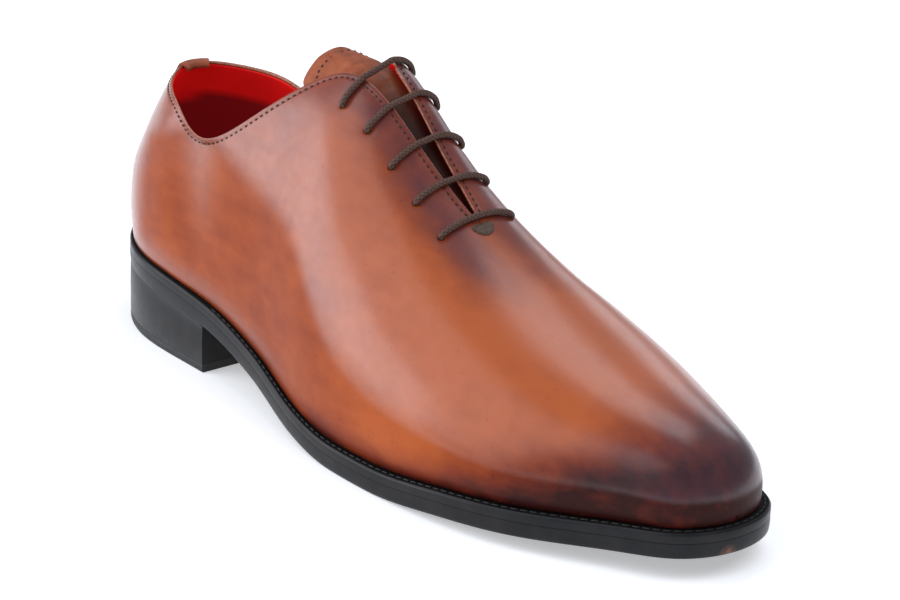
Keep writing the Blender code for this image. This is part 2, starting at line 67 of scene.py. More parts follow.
# Underside of the sole: x, height
SOLE_BOTTOM = np.array([
    (0.0, 23.0), (40.0, 21.5), (79.0, 17.5), (110.0, 10.5), (145.0, 2.5), (170.0, 0.0), (190.0, 0.0),
    (225.0, 3.0), (255.0, 5.0), (285.0, 7.0), (304.0, 8.5),
])

# Rim of welt that shows outside the upper: x, width
WELT_RIM = np.array([
    (0.0, 1.0), (40.0, 1.6), (79.0, 2.2), (145.0, 2.6), (200.0, 3.2), (304.0, 3.4),
])

# Top line of the last over the instep and toe: x, height
RIDGE_HEIGHT = np.array([
    (0.0, 108.0), (40.0, 112.5), (80.0, 118.0), (110.0, 121.0), (128.0, 119.5), (156.0, 100.0),
    (184.0, 80.0), (205.0, 68.5), (225.0, 60.0), (245.0, 53.0), (262.0, 48.0), (280.0, 45.0),
    (299.0, 44.0),
])

# Sections of the last: x, y of the highest point, fullness upward, bulge over the feather edge
SECTIONS = np.array([
    (0.0, 0.0, 3.0, 0.04),
    (60.0, 0.0, 3.2, 0.06),
    (118.0, 8.5, 2.8, 0.08),
    (150.0, 6.5, 2.8, 0.085),
    (184.0, 5.0, 2.9, 0.09),
    (245.0, 6.0, 2.6, 0.09),
    (304.0, 9.2, 3.4, 0.09),
])
FULLNESS_ACROSS = 2.1
TOE_ROUND_LENGTH = 46.0
TOE_ROUND_ALONG = 2.8
TOE_ROUND_UP = 2.9
BULGE_FADE = 60.0
BULGE_PEAK = 27 / 4

# Curve of the back seam: height above the welt, shift forward
BACK_CURVE = np.array([
    (0.0, -0.3), (10.0, -0.8), (25.0, 1.0), (42.0, 10.0), (70.0, 26.0), (100.0, 40.0),
])
BACK_CURVE_REACH = 110.0

# Top edge of the quarters, from the back seam to the facings: x, height
TOPLINE = np.array([
    (0.0, 95.3), (22.0, 93.5), (45.0, 90.0), (70.0, 84.5), (95.0, 100.5), (112.0, 114.0),
    (130.0, 122.5),
])
TOPLINE_END = 129.0
FACING_START = 95.0
FACING_BLEND_END = 142.3
CORNER_ROUND = 0.10

# Throat between the facings: x, half of the gap
THROAT_GAP = np.array([
    (120.0, 5.8), (140.0, 4.6), (160.0, 3.0), (176.0, 1.6), (184.0, 0.0),
])
THROAT_Y = 2.2
THROAT_END = 184.0

# Sole, heel and inside
OUTSOLE_THICKNESS = 5.0
WELT_THICKNESS = 3.5
GAP = 0.3
HEEL_LENGTH = 79.0
TOP_PIECE_THICKNESS = 3.0
HEEL_JOINT = 0.05

# Section of each sole edge: distance in from the outline, height over the sole's underside
OUTSOLE_PROFILE = (
    (7.2, 0.0), (6.0, 0.0), (5.7, 0.3), (5.4, 0.0), (1.1, 0.0), (0.4, 0.15), (0.1, 0.5),
    (0.0, 1.4), (-0.08, 2.8), (-0.05, 4.6), (0.05, 5.1), (0.4, 5.14), (7.2, 5.14),
)
WELT_PROFILE = (
    (13.0, 5.16), (0.3, 5.16), (0.02, 5.24), (-0.03, 6.2), (-0.03, 7.9), (0.02, 8.02),
    (0.5, 8.6), (0.62, 8.66), (0.9, 8.68), (2.4, 8.68), (4.0, 8.7), (13.0, 8.75),
)
WELT_LEDGE_RING = 7

# Edge of the sock: tuck from the lining, height over the insole's seat
SOCK_PROFILE = ((0.3, 0.0), (0.15, 1.5), (0.3, 2.6), (1.0, 2.95), (2.0, 3.0))

# Section of the heel block and its lift: tuck beyond HEEL_TUCK, part of the way up, height added
HEEL_TUCK = 0.15
HEEL_PROFILE = ((0.15, 0, 0.0), (0.0, 0, 0.2), (-0.1, 0.5, 0.0), (0.0, 1, -0.25), (0.15, 1, -0.05))
LIFT_PROFILE = ((0.7, 0, 0.0), (0.25, 0, 0.15), (0.0, 0, 0.6), (0.0, 1, -0.2), (0.15, 1, 0.0))

# Upper: wall, its layers and the lace holes
UPPER_WALL = 1.8
LEATHER = 1.15
LINING_SET_BACK = 0.45
RIM_SWELL = 0.3
EYELETS = 5
EYELET_FIRST_X = 127.7
EYELET_PITCH_X = 13.3
EYELET_HALF_SPACING = 14.6
EYELET_RADIUS = 1.35
EYELET_DENT = 0.4
EYELET_DENT_REACH = 2.4
EYELET_SIDES = 28
PUNCH_LENGTH = 9.0
SEAM_INSET = 1.8
SEAM_GROOVE = 0.2
SEAM_GROOVE_WIDTH = 0.4
SEAM_STOP = 4.0
THROAT_FADE = 6.0
RIM_FADE = 8.0
RELIEF_START = 1.5
FEATHER_REACH = GAP + 0.1

# Dark burnish and painted shade: share of each patch; side is painted shade on the faces that tilt away from
# the light above
DARK_SHARES = {
    "toe": 0.75, "low": 0.74, "throat": 0.45, "topline": 0.22, "back": 0.15, "quarter": 0.22, "side": 0.26,
}

# Where parts of the finish, its painted shade and its painted sheen come or go: start and end in x, for sides
# in upward tilt
STRETCHES = {
    "toe": (252.0, 300.0),
    "low_darkens": (115.0, 205.0),
    "low_widens": (210.0, 275.0),
    "throat_starts": (108.0, 128.0),
    "throat_stops": (184.0, 222.0),
    "sides": (0.3, 0.8),
    "heel_edge_stops": (110.0, 150.0),
    "rear_stops": (24.0, 44.0),
    "crest_falls": (130.0, 190.0),
}

# Patches of the finish and of the painted sheen that fade both ways: middle and width in mm
PATCHES = {
    "ridge": (0.0, 15.0),
    "facing": (10.0, 13.0),
    "facing_smudge": (11.0, 7.0),
    "back": (16.0, 16.0),
    "quarter_x": (110.0, 16.0),
    "quarter_z": (108.0, 13.0),
    "ball": (205.0, 32.0),
    "heel_edge": (1.0, 7.0),
    "fold_x": (72.0, 9.0),
    "fold_z": (78.0, 20.0),
}
TOPLINE_DARK_REACH = 3.5
LOW_DARK_LEAST = 0.2
FOLD_SLANT = 0.25
FOLD_Z = 74.0
FOLD_SHEEN = 0.9
# Purple at the toe, laid only where the surface tilts up: part smudge, part painted bluish reflection
TOE_SMUDGE_SHEEN = 0.9
TOE_SMUDGE_SHEEN_POWER = 1.5

# Height of the dark band over the welt at the back, and what it gains toward the toe
LOW_REACH = (6.0, 11.0)

# Upward tilt of the surface where the painted sheen starts, what it loses forward, and its change; faces
# tilted up past it get a strong coat, so reflections stop at a painted crest line
SHEEN_CREST = (0.25, 0.13)
SHEEN_TURN = 0.1

# Top edge of the darker lower part of the lining, highest round the heel: x, height
LINING_DARK_EDGE = np.array([
    (0.0, 80.0), (50.0, 79.0), (90.0, 72.0), (130.0, 50.0), (304.0, 20.0),
])

# Soft troughs (depth below zero) and ridges: side, x, z, slant in degrees, reach along, across, depth
CREASES = (
    (-1, 68.0, 72.0, 100.0, 22.0, 9.0, -0.9),
    (-1, 52.0, 58.0, 95.0, 20.0, 8.0, 0.5),
    (-1, 96.0, 62.0, 115.0, 26.0, 10.0, 0.4),
    (1, 66.0, 72.0, 80.0, 22.0, 9.0, -0.8),
    (1, 208.0, 50.0, 118.0, 14.0, 5.0, -0.3),
    (1, 216.0, 48.0, 118.0, 14.0, 5.0, 0.2),
)

# Tongue from its sewn end to its top: x, half width, depth below the upper's outer face
TONGUE = np.array([
    (196.0, 13.0, 2.6),
    (180.0, 15.0, 2.6),
    (150.0, 17.0, 3.3),
    (122.0, 17.5, 3.8),
    (112.0, 17.0, 3.4),
    (106.0, 16.0, 2.7),
    (103.0, 14.0, 2.3),
    (101.0, 10.5, 1.9),
    (100.0, 5.0, 1.6),
])
TONGUE_WALL = 1.8
TONGUE_ROLL = 0.5
TONGUE_DENT = 1.6
TONGUE_DENT_WIDTH = 3.4
TONGUE_DENT_STARTS = (116.0, 124.0)
TONGUE_DENT_STOPS = (180.0, 188.0)
# Stretch in x over which the tongue fades into painted shade down the throat, under the facings
TONGUE_PAINTED_SHADE = (114.0, 152.0)
TONGUE_SEAM_REACH = 40.0
TONGUE_SEAM_INSET = 3.6
TONGUE_SEAM_SHARE = 0.8

# Heel tab
TAB_REACH_X = 2.6
TAB_LEG = 6.0
TAB_WALL = 0.8
TAB_CREST = 0.35
TAB_INNER_LEG = 0.35

# Lace: a round waxed cord in five straight bars
LACE_RADIUS = 1.12
LACE_TURN_LENGTH = 3.2
LACE_SLIM = 0.97
PLAIT_DEPTH = 0.035
PLAIT_MIDDLE = 1.2
LACE_UNDER = 3.35
LACE_CLEARANCE = 0.1
LACE_BEND = 1.6
LACE_LEVELS = (-LACE_UNDER, -1.9, -0.5, 0.55)

# Bar tack: a half moon of threads
TACK_THREADS = 11
TACK_HALF_WIDTH = 3.6
TACK_ROUND = 4.0
TACK_LENGTH = 4.6
TACK_OVERLAP = 1.0
TACK_SPREAD = 1.05
TACK_RADIUS = 0.42
TACK_SINK = 0.3

# Spot on the toe of the sole where the black is worn off
WORN_SPOT = (303.0, 3.5, 8.6)
WORN_REACH = 3.6

# Stitches: length, pitch, radius of the thread
STITCH = (1.15, 2.4, 0.3)
STITCH_SINK = 0.35
WELT_STITCH = (2.6, 3.3, 0.26)
WELT_SEAM_SHARE = 0.55
WELT_SEAM_SINK = 0.1
WELT_SEAM_START = 4.0

# Colours of the threads
THREADS = {
    "dark_thread": (0.045, 0.018, 0.012),
    "black_thread": (0.02, 0.019, 0.019),
    "tack_thread": (0.13, 0.085, 0.055),
}

# Form of one stitch: place along its half length, part of its radius
STITCH_PROFILE = (
    (-1.0, 0.15), (-0.92, 0.55), (-0.7, 0.9), (-0.35, 1.0),
    (0.35, 1.0), (0.7, 0.9), (0.92, 0.55), (1.0, 0.15),
)
STITCH_SIDES = 8

# Fineness of the meshes
SAMPLES = 161
STATION_COUNTS = (86, 100, 92)
FINE_LEAD = 14.0
SLANT_LIMIT = 0.3
NEAR_ROWS = 16
NEAR_REACH = 6.4
FAR_ROWS = 58
INNER_STEP = 4
RIM_POINTS = 6
SOLE_POINTS = 260
HEEL_POINTS = 90
WELT_SEAM_POINTS = 200
TONGUE_SEAM_POINTS = 60
TONGUE_COLUMNS = 61
TONGUE_ROWS = 120
TAB_COLUMNS = 41
TAB_LEG_ROWS = 8
TAB_CREST_ROWS = 9
LACE_BAR_POINTS = 15
LACE_SIDES = 18
LACE_STEP = 0.28
WELD = 0.02

# Radians: stretch of the top searched for a y, and bends past which an edge stays sharp
TOP_ANGLE = 0.6
SHARP_ANGLE = 0.7
SOFT_ANGLE = 1.0

# Camera read from the photo: place, the point it looks at, roll in degrees, lens in mm
CAMERA_PLACE = (0.6794, -0.5630, 0.3852)
CAMERA_AIM = (0.0045, 0.0119, 0.0422)
CAMERA_ROLL = 2.27
CAMERA_LENS = 112.0

# Soft lights: azimuth and elevation as seen from the shoe, distance, width, height, watts, mirrored
LIGHTS = {
    "window": (-24.0, 36.0, 1.6, 2.0, 2.0, 17.0, True),
    "window_low": (-48.0, 15.0, 1.6, 1.3, 0.95, 11.0, True),
    "behind": (-160.0, 21.0, 1.4, 0.5, 0.4, 1.0, True),
    "ceiling": (-145.0, 64.0, 1.5, 0.8, 0.7, 4.5, True),
    "inner_side": (100.0, 60.0, 1.6, 1.2, 1.0, 11.0, False),
}
LIGHTS_AIM = (0.0, 0.0, 0.05)
LIGHT_COLOUR = (0.90, 0.94, 1.0)
WORLD_COLOUR = (0.84, 0.89, 1.0, 1.0)
WORLD_STRENGTH = 0.4
FLOOR_SIZE = 12.0


def cubic_curve(x, y, bend):
    """Cubic pieces through the points x, y with the second derivatives bend, as a function."""
    step = np.diff(x)

    def value(q):
        q = np.asarray(q, float)
        k = np.clip(np.searchsorted(x, q, side="right") - 1, 0, len(step) - 1)
        a = (x[k + 1] - q) / step[k]
        b = (q - x[k]) / step[k]
        curve = ((a ** 3 - a) * bend[k] + (b ** 3 - b) * bend[k + 1]) * step[k] ** 2 / 6
        return a * y[k] + b * y[k + 1] + curve
    return value


def natural_spline(table):
    """Smooth curve through the rows (x, value) of a table, straight at its ends."""
    x, y = table[:, 0], table[:, 1]
    step = np.diff(x)
    matrix = np.eye(len(x))
    for i in range(1, len(x) - 1):
        matrix[i, i - 1:i + 2] = (step[i - 1], 2 * (step[i - 1] + step[i]), step[i])
    right = 6 * np.pad(np.diff(np.diff(y) / step), 1)
    return cubic_curve(x, y, np.linalg.solve(matrix, right))


def even_spline(table):
    """Curve through the rows (x, value) that never swings past them, so flat stretches stay flat."""
    x, y = table[:, 0], table[:, 1]
    step = np.diff(x)
    rise = np.diff(y) / step
    slope = np.concatenate(([rise[0]], np.zeros(len(x) - 2), [rise[-1]]))
    for i in range(1, len(x) - 1):
        if rise[i - 1] * rise[i] > 0:
            before = 2 * step[i] + step[i - 1]
            after = step[i] + 2 * step[i - 1]
            slope[i] = (before + after) / (before / rise[i - 1] + after / rise[i])

    def value(q):
        q = np.asarray(q, float)
        k = np.clip(np.searchsorted(x, q, side="right") - 1, 0, len(step) - 1)
        t = np.clip((q - x[k]) / step[k], 0, 1)
        start = (1 + 2 * t) * (1 - t) ** 2 * y[k] + t * (1 - t) ** 2 * step[k] * slope[k]
        end = t * t * (3 - 2 * t) * y[k + 1] + t * t * (t - 1) * step[k] * slope[k + 1]
        return start + end
    return value


def closed_spline(t, y, period):
    """Smooth closed curve through the values y at the loop parameters t."""
    count = len(t)
    ends = np.append(t, t[0] + period)
    step = np.diff(ends)
    rise = (np.roll(y, -1) - y) / step
    matrix = np.zeros((count, count))
    for i in range(count):
        matrix[i, i - 1] += step[i - 1]
        matrix[i, i] += 2 * (step[i - 1] + step[i])
        matrix[i, (i + 1) % count] += step[i]
    bend = np.linalg.solve(matrix, 6 * (rise - np.roll(rise, 1)))
    curve = cubic_curve(ends, np.append(y, y[0]), np.append(bend, bend[0]))
    return lambda q: curve((np.asarray(q, float) - t[0]) % period + t[0])


def station_x(s):
    """x of station s; stations crowd at heel and toe, so both ends come out round."""
    return LENGTH / 2 * (1 - np.cos(np.pi * np.asarray(s, float)))


def station_at(x):
    return np.arccos(np.clip(1 - 2 * np.asarray(x, float) / LENGTH, -1, 1)) / np.pi


def make_outline():
    """y of the sole's edge as a function of the loop parameter: 0 to 1 lateral, 1 to 2 medial."""
    s = station_at(OUTLINE[:, 0] * LENGTH)
    t = np.concatenate([s, 2 - s[1:-1][::-1]])
    y = np.concatenate([OUTLINE[:, 1], OUTLINE[1:-1, 2][::-1]])
    return closed_spline(t, y, 2.0)


OUTLINE_Y = make_outline()
BOTTOM_Z = even_spline(SOLE_BOTTOM)
RIM_WIDTH = even_spline(WELT_RIM)
RIDGE_Z = natural_spline(RIDGE_HEIGHT)
RIDGE_Y = even_spline(SECTIONS[:, (0, 1)])
FULLNESS_UP = even_spline(SECTIONS[:, (0, 2)])
BULGE = even_spline(SECTIONS[:, (0, 3)])
BACK_SHIFT = even_spline(BACK_CURVE)
TOPLINE_Z = natural_spline(TOPLINE)
GAP_HALF = even_spline(THROAT_GAP)
LINING_DARK_Z = even_spline(LINING_DARK_EDGE)

LOOP = np.linspace(0, 2, 401)
MIDDLE_Y = (OUTLINE_Y(LOOP).min() + OUTLINE_Y(LOOP).max()) / 2
ORIGIN = np.array((LENGTH / 2, MIDDLE_Y, 0.0))


def unit(vectors):
    """Vectors of length one along the last axis."""
    return vectors / np.maximum(np.linalg.norm(vectors, axis=-1, keepdims=True), 1e-9)


def run_length(path):
    """Distance run along a path, or along each of several, at all of its points."""
    steps = np.linalg.norm(np.diff(path, axis=-2), axis=-1)
    return np.concatenate([np.zeros_like(steps[..., :1]), np.cumsum(steps, axis=-1)], axis=-1)


def read_along(path, length, places):
    """Points of a path at the given distances along it."""
    return np.stack([np.interp(places, length, path[:, axis]) for axis in range(3)], axis=1)


def edge_points(t, inset):
    """Points of the sole's outline at loop parameters t, moved inward by an inset."""
    t = np.asarray(t, float)
    small = 1e-4
    ahead = np.stack([station_x(t + small), OUTLINE_Y(t + small)], axis=1)
    behind = np.stack([station_x(t - small), OUTLINE_Y(t - small)], axis=1)
    along = unit(ahead - behind)
    inward = np.stack([-along[:, 1], along[:, 0]], axis=1)
    points = np.stack([station_x(t), OUTLINE_Y(t)], axis=1)
    return points + inward * np.broadcast_to(inset, t.shape)[:, None]


def welt_top(x):
    return BOTTOM_Z(x) + OUTSOLE_THICKNESS + GAP + WELT_THICKNESS


def last_section(s, phi, tuck=0.0):
    """Points of the upper, a tuck inside its outer face: station s, angle phi from 0 to pi."""
    s = np.asarray(s, float)
    phi = np.asarray(phi, float)
    inset = RIM_WIDTH(station_x(s)) + tuck
    lateral = edge_points(s, inset)
    medial = edge_points(2 - s, inset)
    middle = (lateral + medial) / 2
    half = (medial - lateral) / 2
    x = middle[:, 0]
    foot = welt_top(x) + GAP
    toe_tip = LENGTH - RIM_WIDTH(LENGTH) - tuck
    toward_tip = np.clip((x - (toe_tip - TOE_ROUND_LENGTH)) / TOE_ROUND_LENGTH, 0, 1)
    closing = (1 - toward_tip ** TOE_ROUND_ALONG) ** (1 / TOE_ROUND_UP)
    height = (RIDGE_Z(x) - foot - tuck) * closing
    bulge = BULGE(x) * np.sqrt(np.clip((toe_tip - x) / BULGE_FADE, 0, 1))
    across = np.sign(np.cos(phi)) * np.abs(np.cos(phi)) ** (2 / FULLNESS_ACROSS)
    up = np.abs(np.sin(phi)) ** (2 / FULLNESS_UP(x)[:, None])
    swell = 1 + bulge[:, None] * BULGE_PEAK * up * (1 - up) ** 2
    ridge_y = RIDGE_Y(x)[:, None]
    px = middle[:, :1] + half[:, :1] * across * swell
    py = ridge_y + (middle[:, 1:] - ridge_y) * across ** 2 + half[:, 1:] * across * swell
    rise = height[:, None] * up
    fade = np.clip(1 - px / BACK_CURVE_REACH, 0, 1) ** 2
    px = px + BACK_SHIFT(rise) * fade
    return np.stack([px, py, foot[:, None] + rise], axis=2)


def section_normals(s, phi):
    """Outward normals of the outer face at the same stations and angles."""
    small = 1e-3
    along = last_section(s + small, phi) - last_section(s - small, phi)
    around = last_section(s, phi + small) - last_section(s, phi - small)
    return unit(np.cross(around, along))


def angle_at_y(s, y):
    """Angle phi on the top of each section at which it passes the given y."""
    phi = np.linspace(TOP_ANGLE, np.pi - TOP_ANGLE, SAMPLES)
    rows = last_section(s, np.tile(phi, (len(s), 1)))
    return np.array([np.interp(-value, -row[:, 1], phi) for value, row in zip(y, rows)])


def on_top(x, y):
    """Points and outward normals of the last over matching lists of x and y."""
    s = station_at(x)
    phi = angle_at_y(s, y)[:, None]
    return last_section(s, phi)[:, 0], section_normals(s, phi)[:, 0]


def centre_line_y(x):
    """y of the line along which both sides of the vamp meet, from the throat to the toe tip."""
    part = np.clip((x - THROAT_END) / (LENGTH - THROAT_END), 0, 1)
    return THROAT_Y + (OUTLINE[-1, 1] - THROAT_Y) * part


def opening_angles(s):
    """Angles phi of the upper's edge on the medial and lateral side of each station."""
    inset = RIM_WIDTH(station_x(s))
    x = (edge_points(s, inset)[:, 0] + edge_points(2 - s, inset)[:, 0]) / 2
    foot = welt_top(x) + GAP
    share = np.clip((TOPLINE_Z(x) - foot) / (RIDGE_Z(x) - foot), 0, 1)
    collar = np.arcsin(share ** (FULLNESS_UP(x) / 2))
    collar = collar + np.clip(x - TOPLINE_END, 0, None) * CORNER_ROUND
    gap = np.where(x < THROAT_END, GAP_HALF(x), 0.0)
    centre_y = centre_line_y(x)
    facing_medial = angle_at_y(s, centre_y + gap)
    facing_lateral = np.pi - angle_at_y(s, centre_y - gap)
    angles = []
    for facing in (facing_medial, facing_lateral):
        facing = np.where(x > FACING_START, facing, np.pi / 2)
        mean = (collar + facing) / 2
        apart = np.sqrt(((collar - facing) / 2) ** 2 + (CORNER_ROUND / 2) ** 2)
        blend = np.where(x < FACING_BLEND_END, mean - apart, facing)
        angles.append(np.minimum(blend, facing))
    return angles[0], np.pi - angles[1]


def smooth_step(value, low, high):
    t = np.clip((value - low) / (high - low), 0, 1)
    return t * t * (3 - 2 * t)


def bell(value, middle, width):
    return np.exp(-((value - middle) / width) ** 2)


def before_throat_end(x, fade):
    """1 where the throat is open, falling to 0 over the last stretch before its end."""
    return 1 - smooth_step(x, THROAT_END - fade, THROAT_END)


# Meshes

def new_object(name, data):
    item = bpy.data.objects.new(name, data)
    bpy.context.scene.collection.objects.link(item)
    return item


def mesh_piece(name, points, faces, materials, face_material=None, facts=None, weld=WELD):
    """Piece from points in millimetres that rides on the shoe; facts are values kept per point."""
    mesh = bpy.data.meshes.new(name)
    places = (np.asarray(points, float) - ORIGIN) * MM
    mesh.from_pydata([tuple(place) for place in places], [], faces)
    for material in materials:
        mesh.materials.append(material)
    if face_material is not None:
        mesh.polygons.foreach_set("material_index", np.asarray(face_material, np.int32))
    for fact, values in (facts or {}).items():
        layer = mesh.attributes.new(fact, "FLOAT", "POINT")
        layer.data.foreach_set("value", np.asarray(values, np.float32))
    work = bmesh.new()
    work.from_mesh(mesh)
    if weld:
        bmesh.ops.remove_doubles(work, verts=work.verts, dist=weld * MM)
    loose = [vert for vert in work.verts if not vert.link_faces]
    bmesh.ops.delete(work, geom=loose, context="VERTS")
    bmesh.ops.recalc_face_normals(work, faces=work.faces)
    work.to_mesh(mesh)
    work.free()
    mesh.shade_smooth()
    return new_object(name, mesh)


def finish_piece(item, slot, *nodes):
    """The piece rides on the shoe and stands for CAD nodes; its slot is not used."""
    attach(item, "root")
    if nodes:
        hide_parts(*nodes)
    return item


def grid_faces(columns, rows, start=0, close_rows=False, left_out=()):
    """Quads between neighbouring columns, but for the cells (column, row) that are left out."""
    faces = []
    for i in range(columns - 1):
        for j in range(rows if close_rows else rows - 1):
            if (i, j) in left_out:
                continue
            a = start + i * rows + j
            b = start + i * rows + (j + 1) % rows
            faces.append((a, a + rows, b + rows, b))
    return faces


def capsules(name, starts, ends, outward, radius, material, slot, sink=STITCH_SINK):
    """One mesh of short round stitches, each lying on the surface and partly sunk in it."""
    turn = 2 * np.pi * np.arange(STITCH_SIDES) / STITCH_SIDES
    rings = len(STITCH_PROFILE)
    points = []
    faces = []
    for start, end, normal in zip(starts, ends, outward):
        middle = (start + end) / 2 + normal * radius * (1 - 2 * sink)
        half = (end - start) / 2
        side = unit(np.cross(normal, half))
        rise = np.cross(unit(half), side)
        round_it = side * np.cos(turn)[:, None] + rise * np.sin(turn)[:, None]
        base = len(points)
        for share, width in STITCH_PROFILE:
            points.extend(middle + half * share + round_it * radius * width)
        last = base + (rings - 1) * STITCH_SIDES
        faces += [face[::-1] for face in grid_faces(rings, STITCH_SIDES, base, True)]
        faces.append(tuple(range(base, base + STITCH_SIDES))[::-1])
        faces.append(tuple(range(last, last + STITCH_SIDES)))
    item = mesh_piece(name, np.array(points), faces, [material], weld=0)
    return finish_piece(item, slot)


def resample(path, extra, pitch):
    """Points at an even pitch along a path, with a second list that follows it."""
    length = run_length(path)
    even = np.linspace(0, length[-1], max(int(length[-1] / pitch), 2) + 1)
    return read_along(path, length, even), unit(read_along(extra, length, even))


def stitch_row(name, path, normals, material, slot, stitch=STITCH):
    """Row of stitches (length, pitch, radius) along a path on the surface."""
    length, pitch, radius = stitch
    places, outward = resample(path, normals, pitch)
    middle = (places[:-1] + places[1:]) / 2
    reach = unit(places[1:] - places[:-1]) * length / 2
    normal = (outward[:-1] + outward[1:]) / 2
    return capsules(name, middle - reach, middle + reach, normal, radius, material, slot)


# Upper

def upper_stations():
    """Stations from heel to toe, closest together over the throat, one at the throat's foot."""
    throat_start = station_at(EYELET_FIRST_X - FINE_LEAD)
    throat_end = station_at(THROAT_END)
    parts = (
        np.linspace(0, throat_start, STATION_COUNTS[0], endpoint=False),
        np.linspace(throat_start, throat_end, STATION_COUNTS[1], endpoint=False),
        np.linspace(throat_end, 1, STATION_COUNTS[2]),
    )
    return np.concatenate(parts)


def side_rows(s, foot_angle, edge_angle, set_back=0.0):
    """Angles of the rows of one side from the opening down to the welt, and their distance
    from the opening, measured square to its edge."""
    share = np.linspace(0, 1, SAMPLES)
    fine = edge_angle[:, None] + (foot_angle - edge_angle)[:, None] * share
    points = last_section(s, fine)
    length = run_length(points)
    edge_run = unit(np.gradient(points[:, 0], axis=0))
    row_run = unit(points[:, 2] - points[:, 0])
    square = np.clip(np.linalg.norm(np.cross(edge_run, row_run), axis=1), SLANT_LIMIT, 1)
    near = np.linspace(0, NEAR_REACH, NEAR_ROWS)
    far = np.linspace(0, 1, FAR_ROWS + 1)[1:]
    angles = np.zeros((len(s), NEAR_ROWS + FAR_ROWS))
    distance = np.zeros_like(angles)
    still_open = before_throat_end(station_x(s), THROAT_FADE)
    for i in range(len(s)):
        total = length[i, -1]
        first = min(set_back * still_open[i] / square[i], total / 4)
        fit = min(1.0, total / (3 * NEAR_REACH))
        down = first + near * fit / square[i]
        down = np.concatenate([down, down[-1] + (total - down[-1]) * far])
        angles[i] = np.interp(down, length[i], fine[i])
        distance[i] = down * square[i]
    return angles, distance


def eyelet_places():
    """Centres and outward normals of the lace holes, lateral row first."""
    x = EYELET_FIRST_X + EYELET_PITCH_X * np.arange(EYELETS)
    return [on_top(x, np.full(EYELETS, THROAT_Y + side * EYELET_HALF_SPACING)) for side in (-1, 1)]


def relief(points, distance, side):
    """Height in mm that the finished leather stands above or below the plain last."""
    x, z = points[:, :, 0], points[:, :, 2]
    opening = before_throat_end(x, THROAT_FADE)
    height = -SEAM_GROOVE * bell(distance, SEAM_INSET, SEAM_GROOVE_WIDTH) * opening
    for centres, _ in EYELET_ROWS:
        for centre in centres:
            away = np.linalg.norm(points - centre, axis=2)
            height = height - EYELET_DENT * bell(away, 0.0, EYELET_DENT_REACH)
    for crease_side, cx, cz, slant, along, across, depth in CREASES:
        if crease_side != side:
            continue
        turn = math.radians(slant)
        run = (x - cx) * math.cos(turn) + (z - cz) * math.sin(turn)
        off = (z - cz) * math.cos(turn) - (x - cx) * math.sin(turn)
        height = height + depth * bell(run, 0.0, along) * bell(off, 0.0, across)
    return height * smooth_step(distance, 0.0, RELIEF_START)


def burnish_and_light_facts(points, distance, upward):
    """Darkness of the finish with painted shade on the sides, the purple smudges with a painted bluish
    reflection on the upward toe, and the painted sheen that sets the coat, all 0 to 1.
    """
    x, y, z = points[:, :, 0], points[:, :, 1], points[:, :, 2]

    def after(name):
        return smooth_step(upward if name == "sides" else x, *STRETCHES[name])

    def patch(value, name):
        return bell(value, *PATCHES[name])

    above = z - welt_top(x)
    toe = after("toe")
    low = bell(above, 0.0, LOW_REACH[0] + LOW_REACH[1] * after("low_widens"))
    in_throat = after("throat_starts") * (1 - after("throat_stops")) * patch(RIDGE_Z(x) - z, "ridge")
    from_facing = np.abs(y - THROAT_Y)
    shades = {
        "toe": toe,
        "low": low * (LOW_DARK_LEAST + (1 - LOW_DARK_LEAST) * after("low_darkens")),
        "throat": patch(from_facing, "facing") * in_throat,
        "topline": np.exp(-distance / TOPLINE_DARK_REACH) * (x < THROAT_END),
        "back": patch(x, "back"),
        "quarter": patch(x, "quarter_x") * patch(z, "quarter_z"),
        # side: painted shade, darker where the surface tilts away from the light above, but not over the ball
        "side": (1 - after("sides")) * (1 - patch(x, "ball")),
    }
    dark = np.clip(sum(DARK_SHARES[name] * shade for name, shade in shades.items()), 0, 1)
    # Painted sheen: a strong coat on faces tilted up past the crest, so reflections end at a painted line, and
    # more at the heel edge, the rear and the fold to place reflection streaks
    crest = SHEEN_CREST[0] - SHEEN_CREST[1] * after("crest_falls")
    painted_sheen = smooth_step(upward - crest, 0.0, SHEEN_TURN)
    # Purple smudges by the facings, and on the upward toe a purple that is partly painted bluish reflection
    smudge_and_sheen = np.clip(patch(from_facing, "facing_smudge") * in_throat
                     + TOE_SMUDGE_SHEEN * toe ** TOE_SMUDGE_SHEEN_POWER * painted_sheen, 0, 1)
    heel_edge = patch(above, "heel_edge") * (1 - after("heel_edge_stops"))
    fold = FOLD_SHEEN * patch(x + FOLD_SLANT * (z - FOLD_Z), "fold_x") * patch(z, "fold_z")
    for sheen_part in (heel_edge, 1 - after("rear_stops"), fold):
        painted_sheen = np.maximum(painted_sheen, sheen_part)
    return dark, smudge_and_sheen, painted_sheen


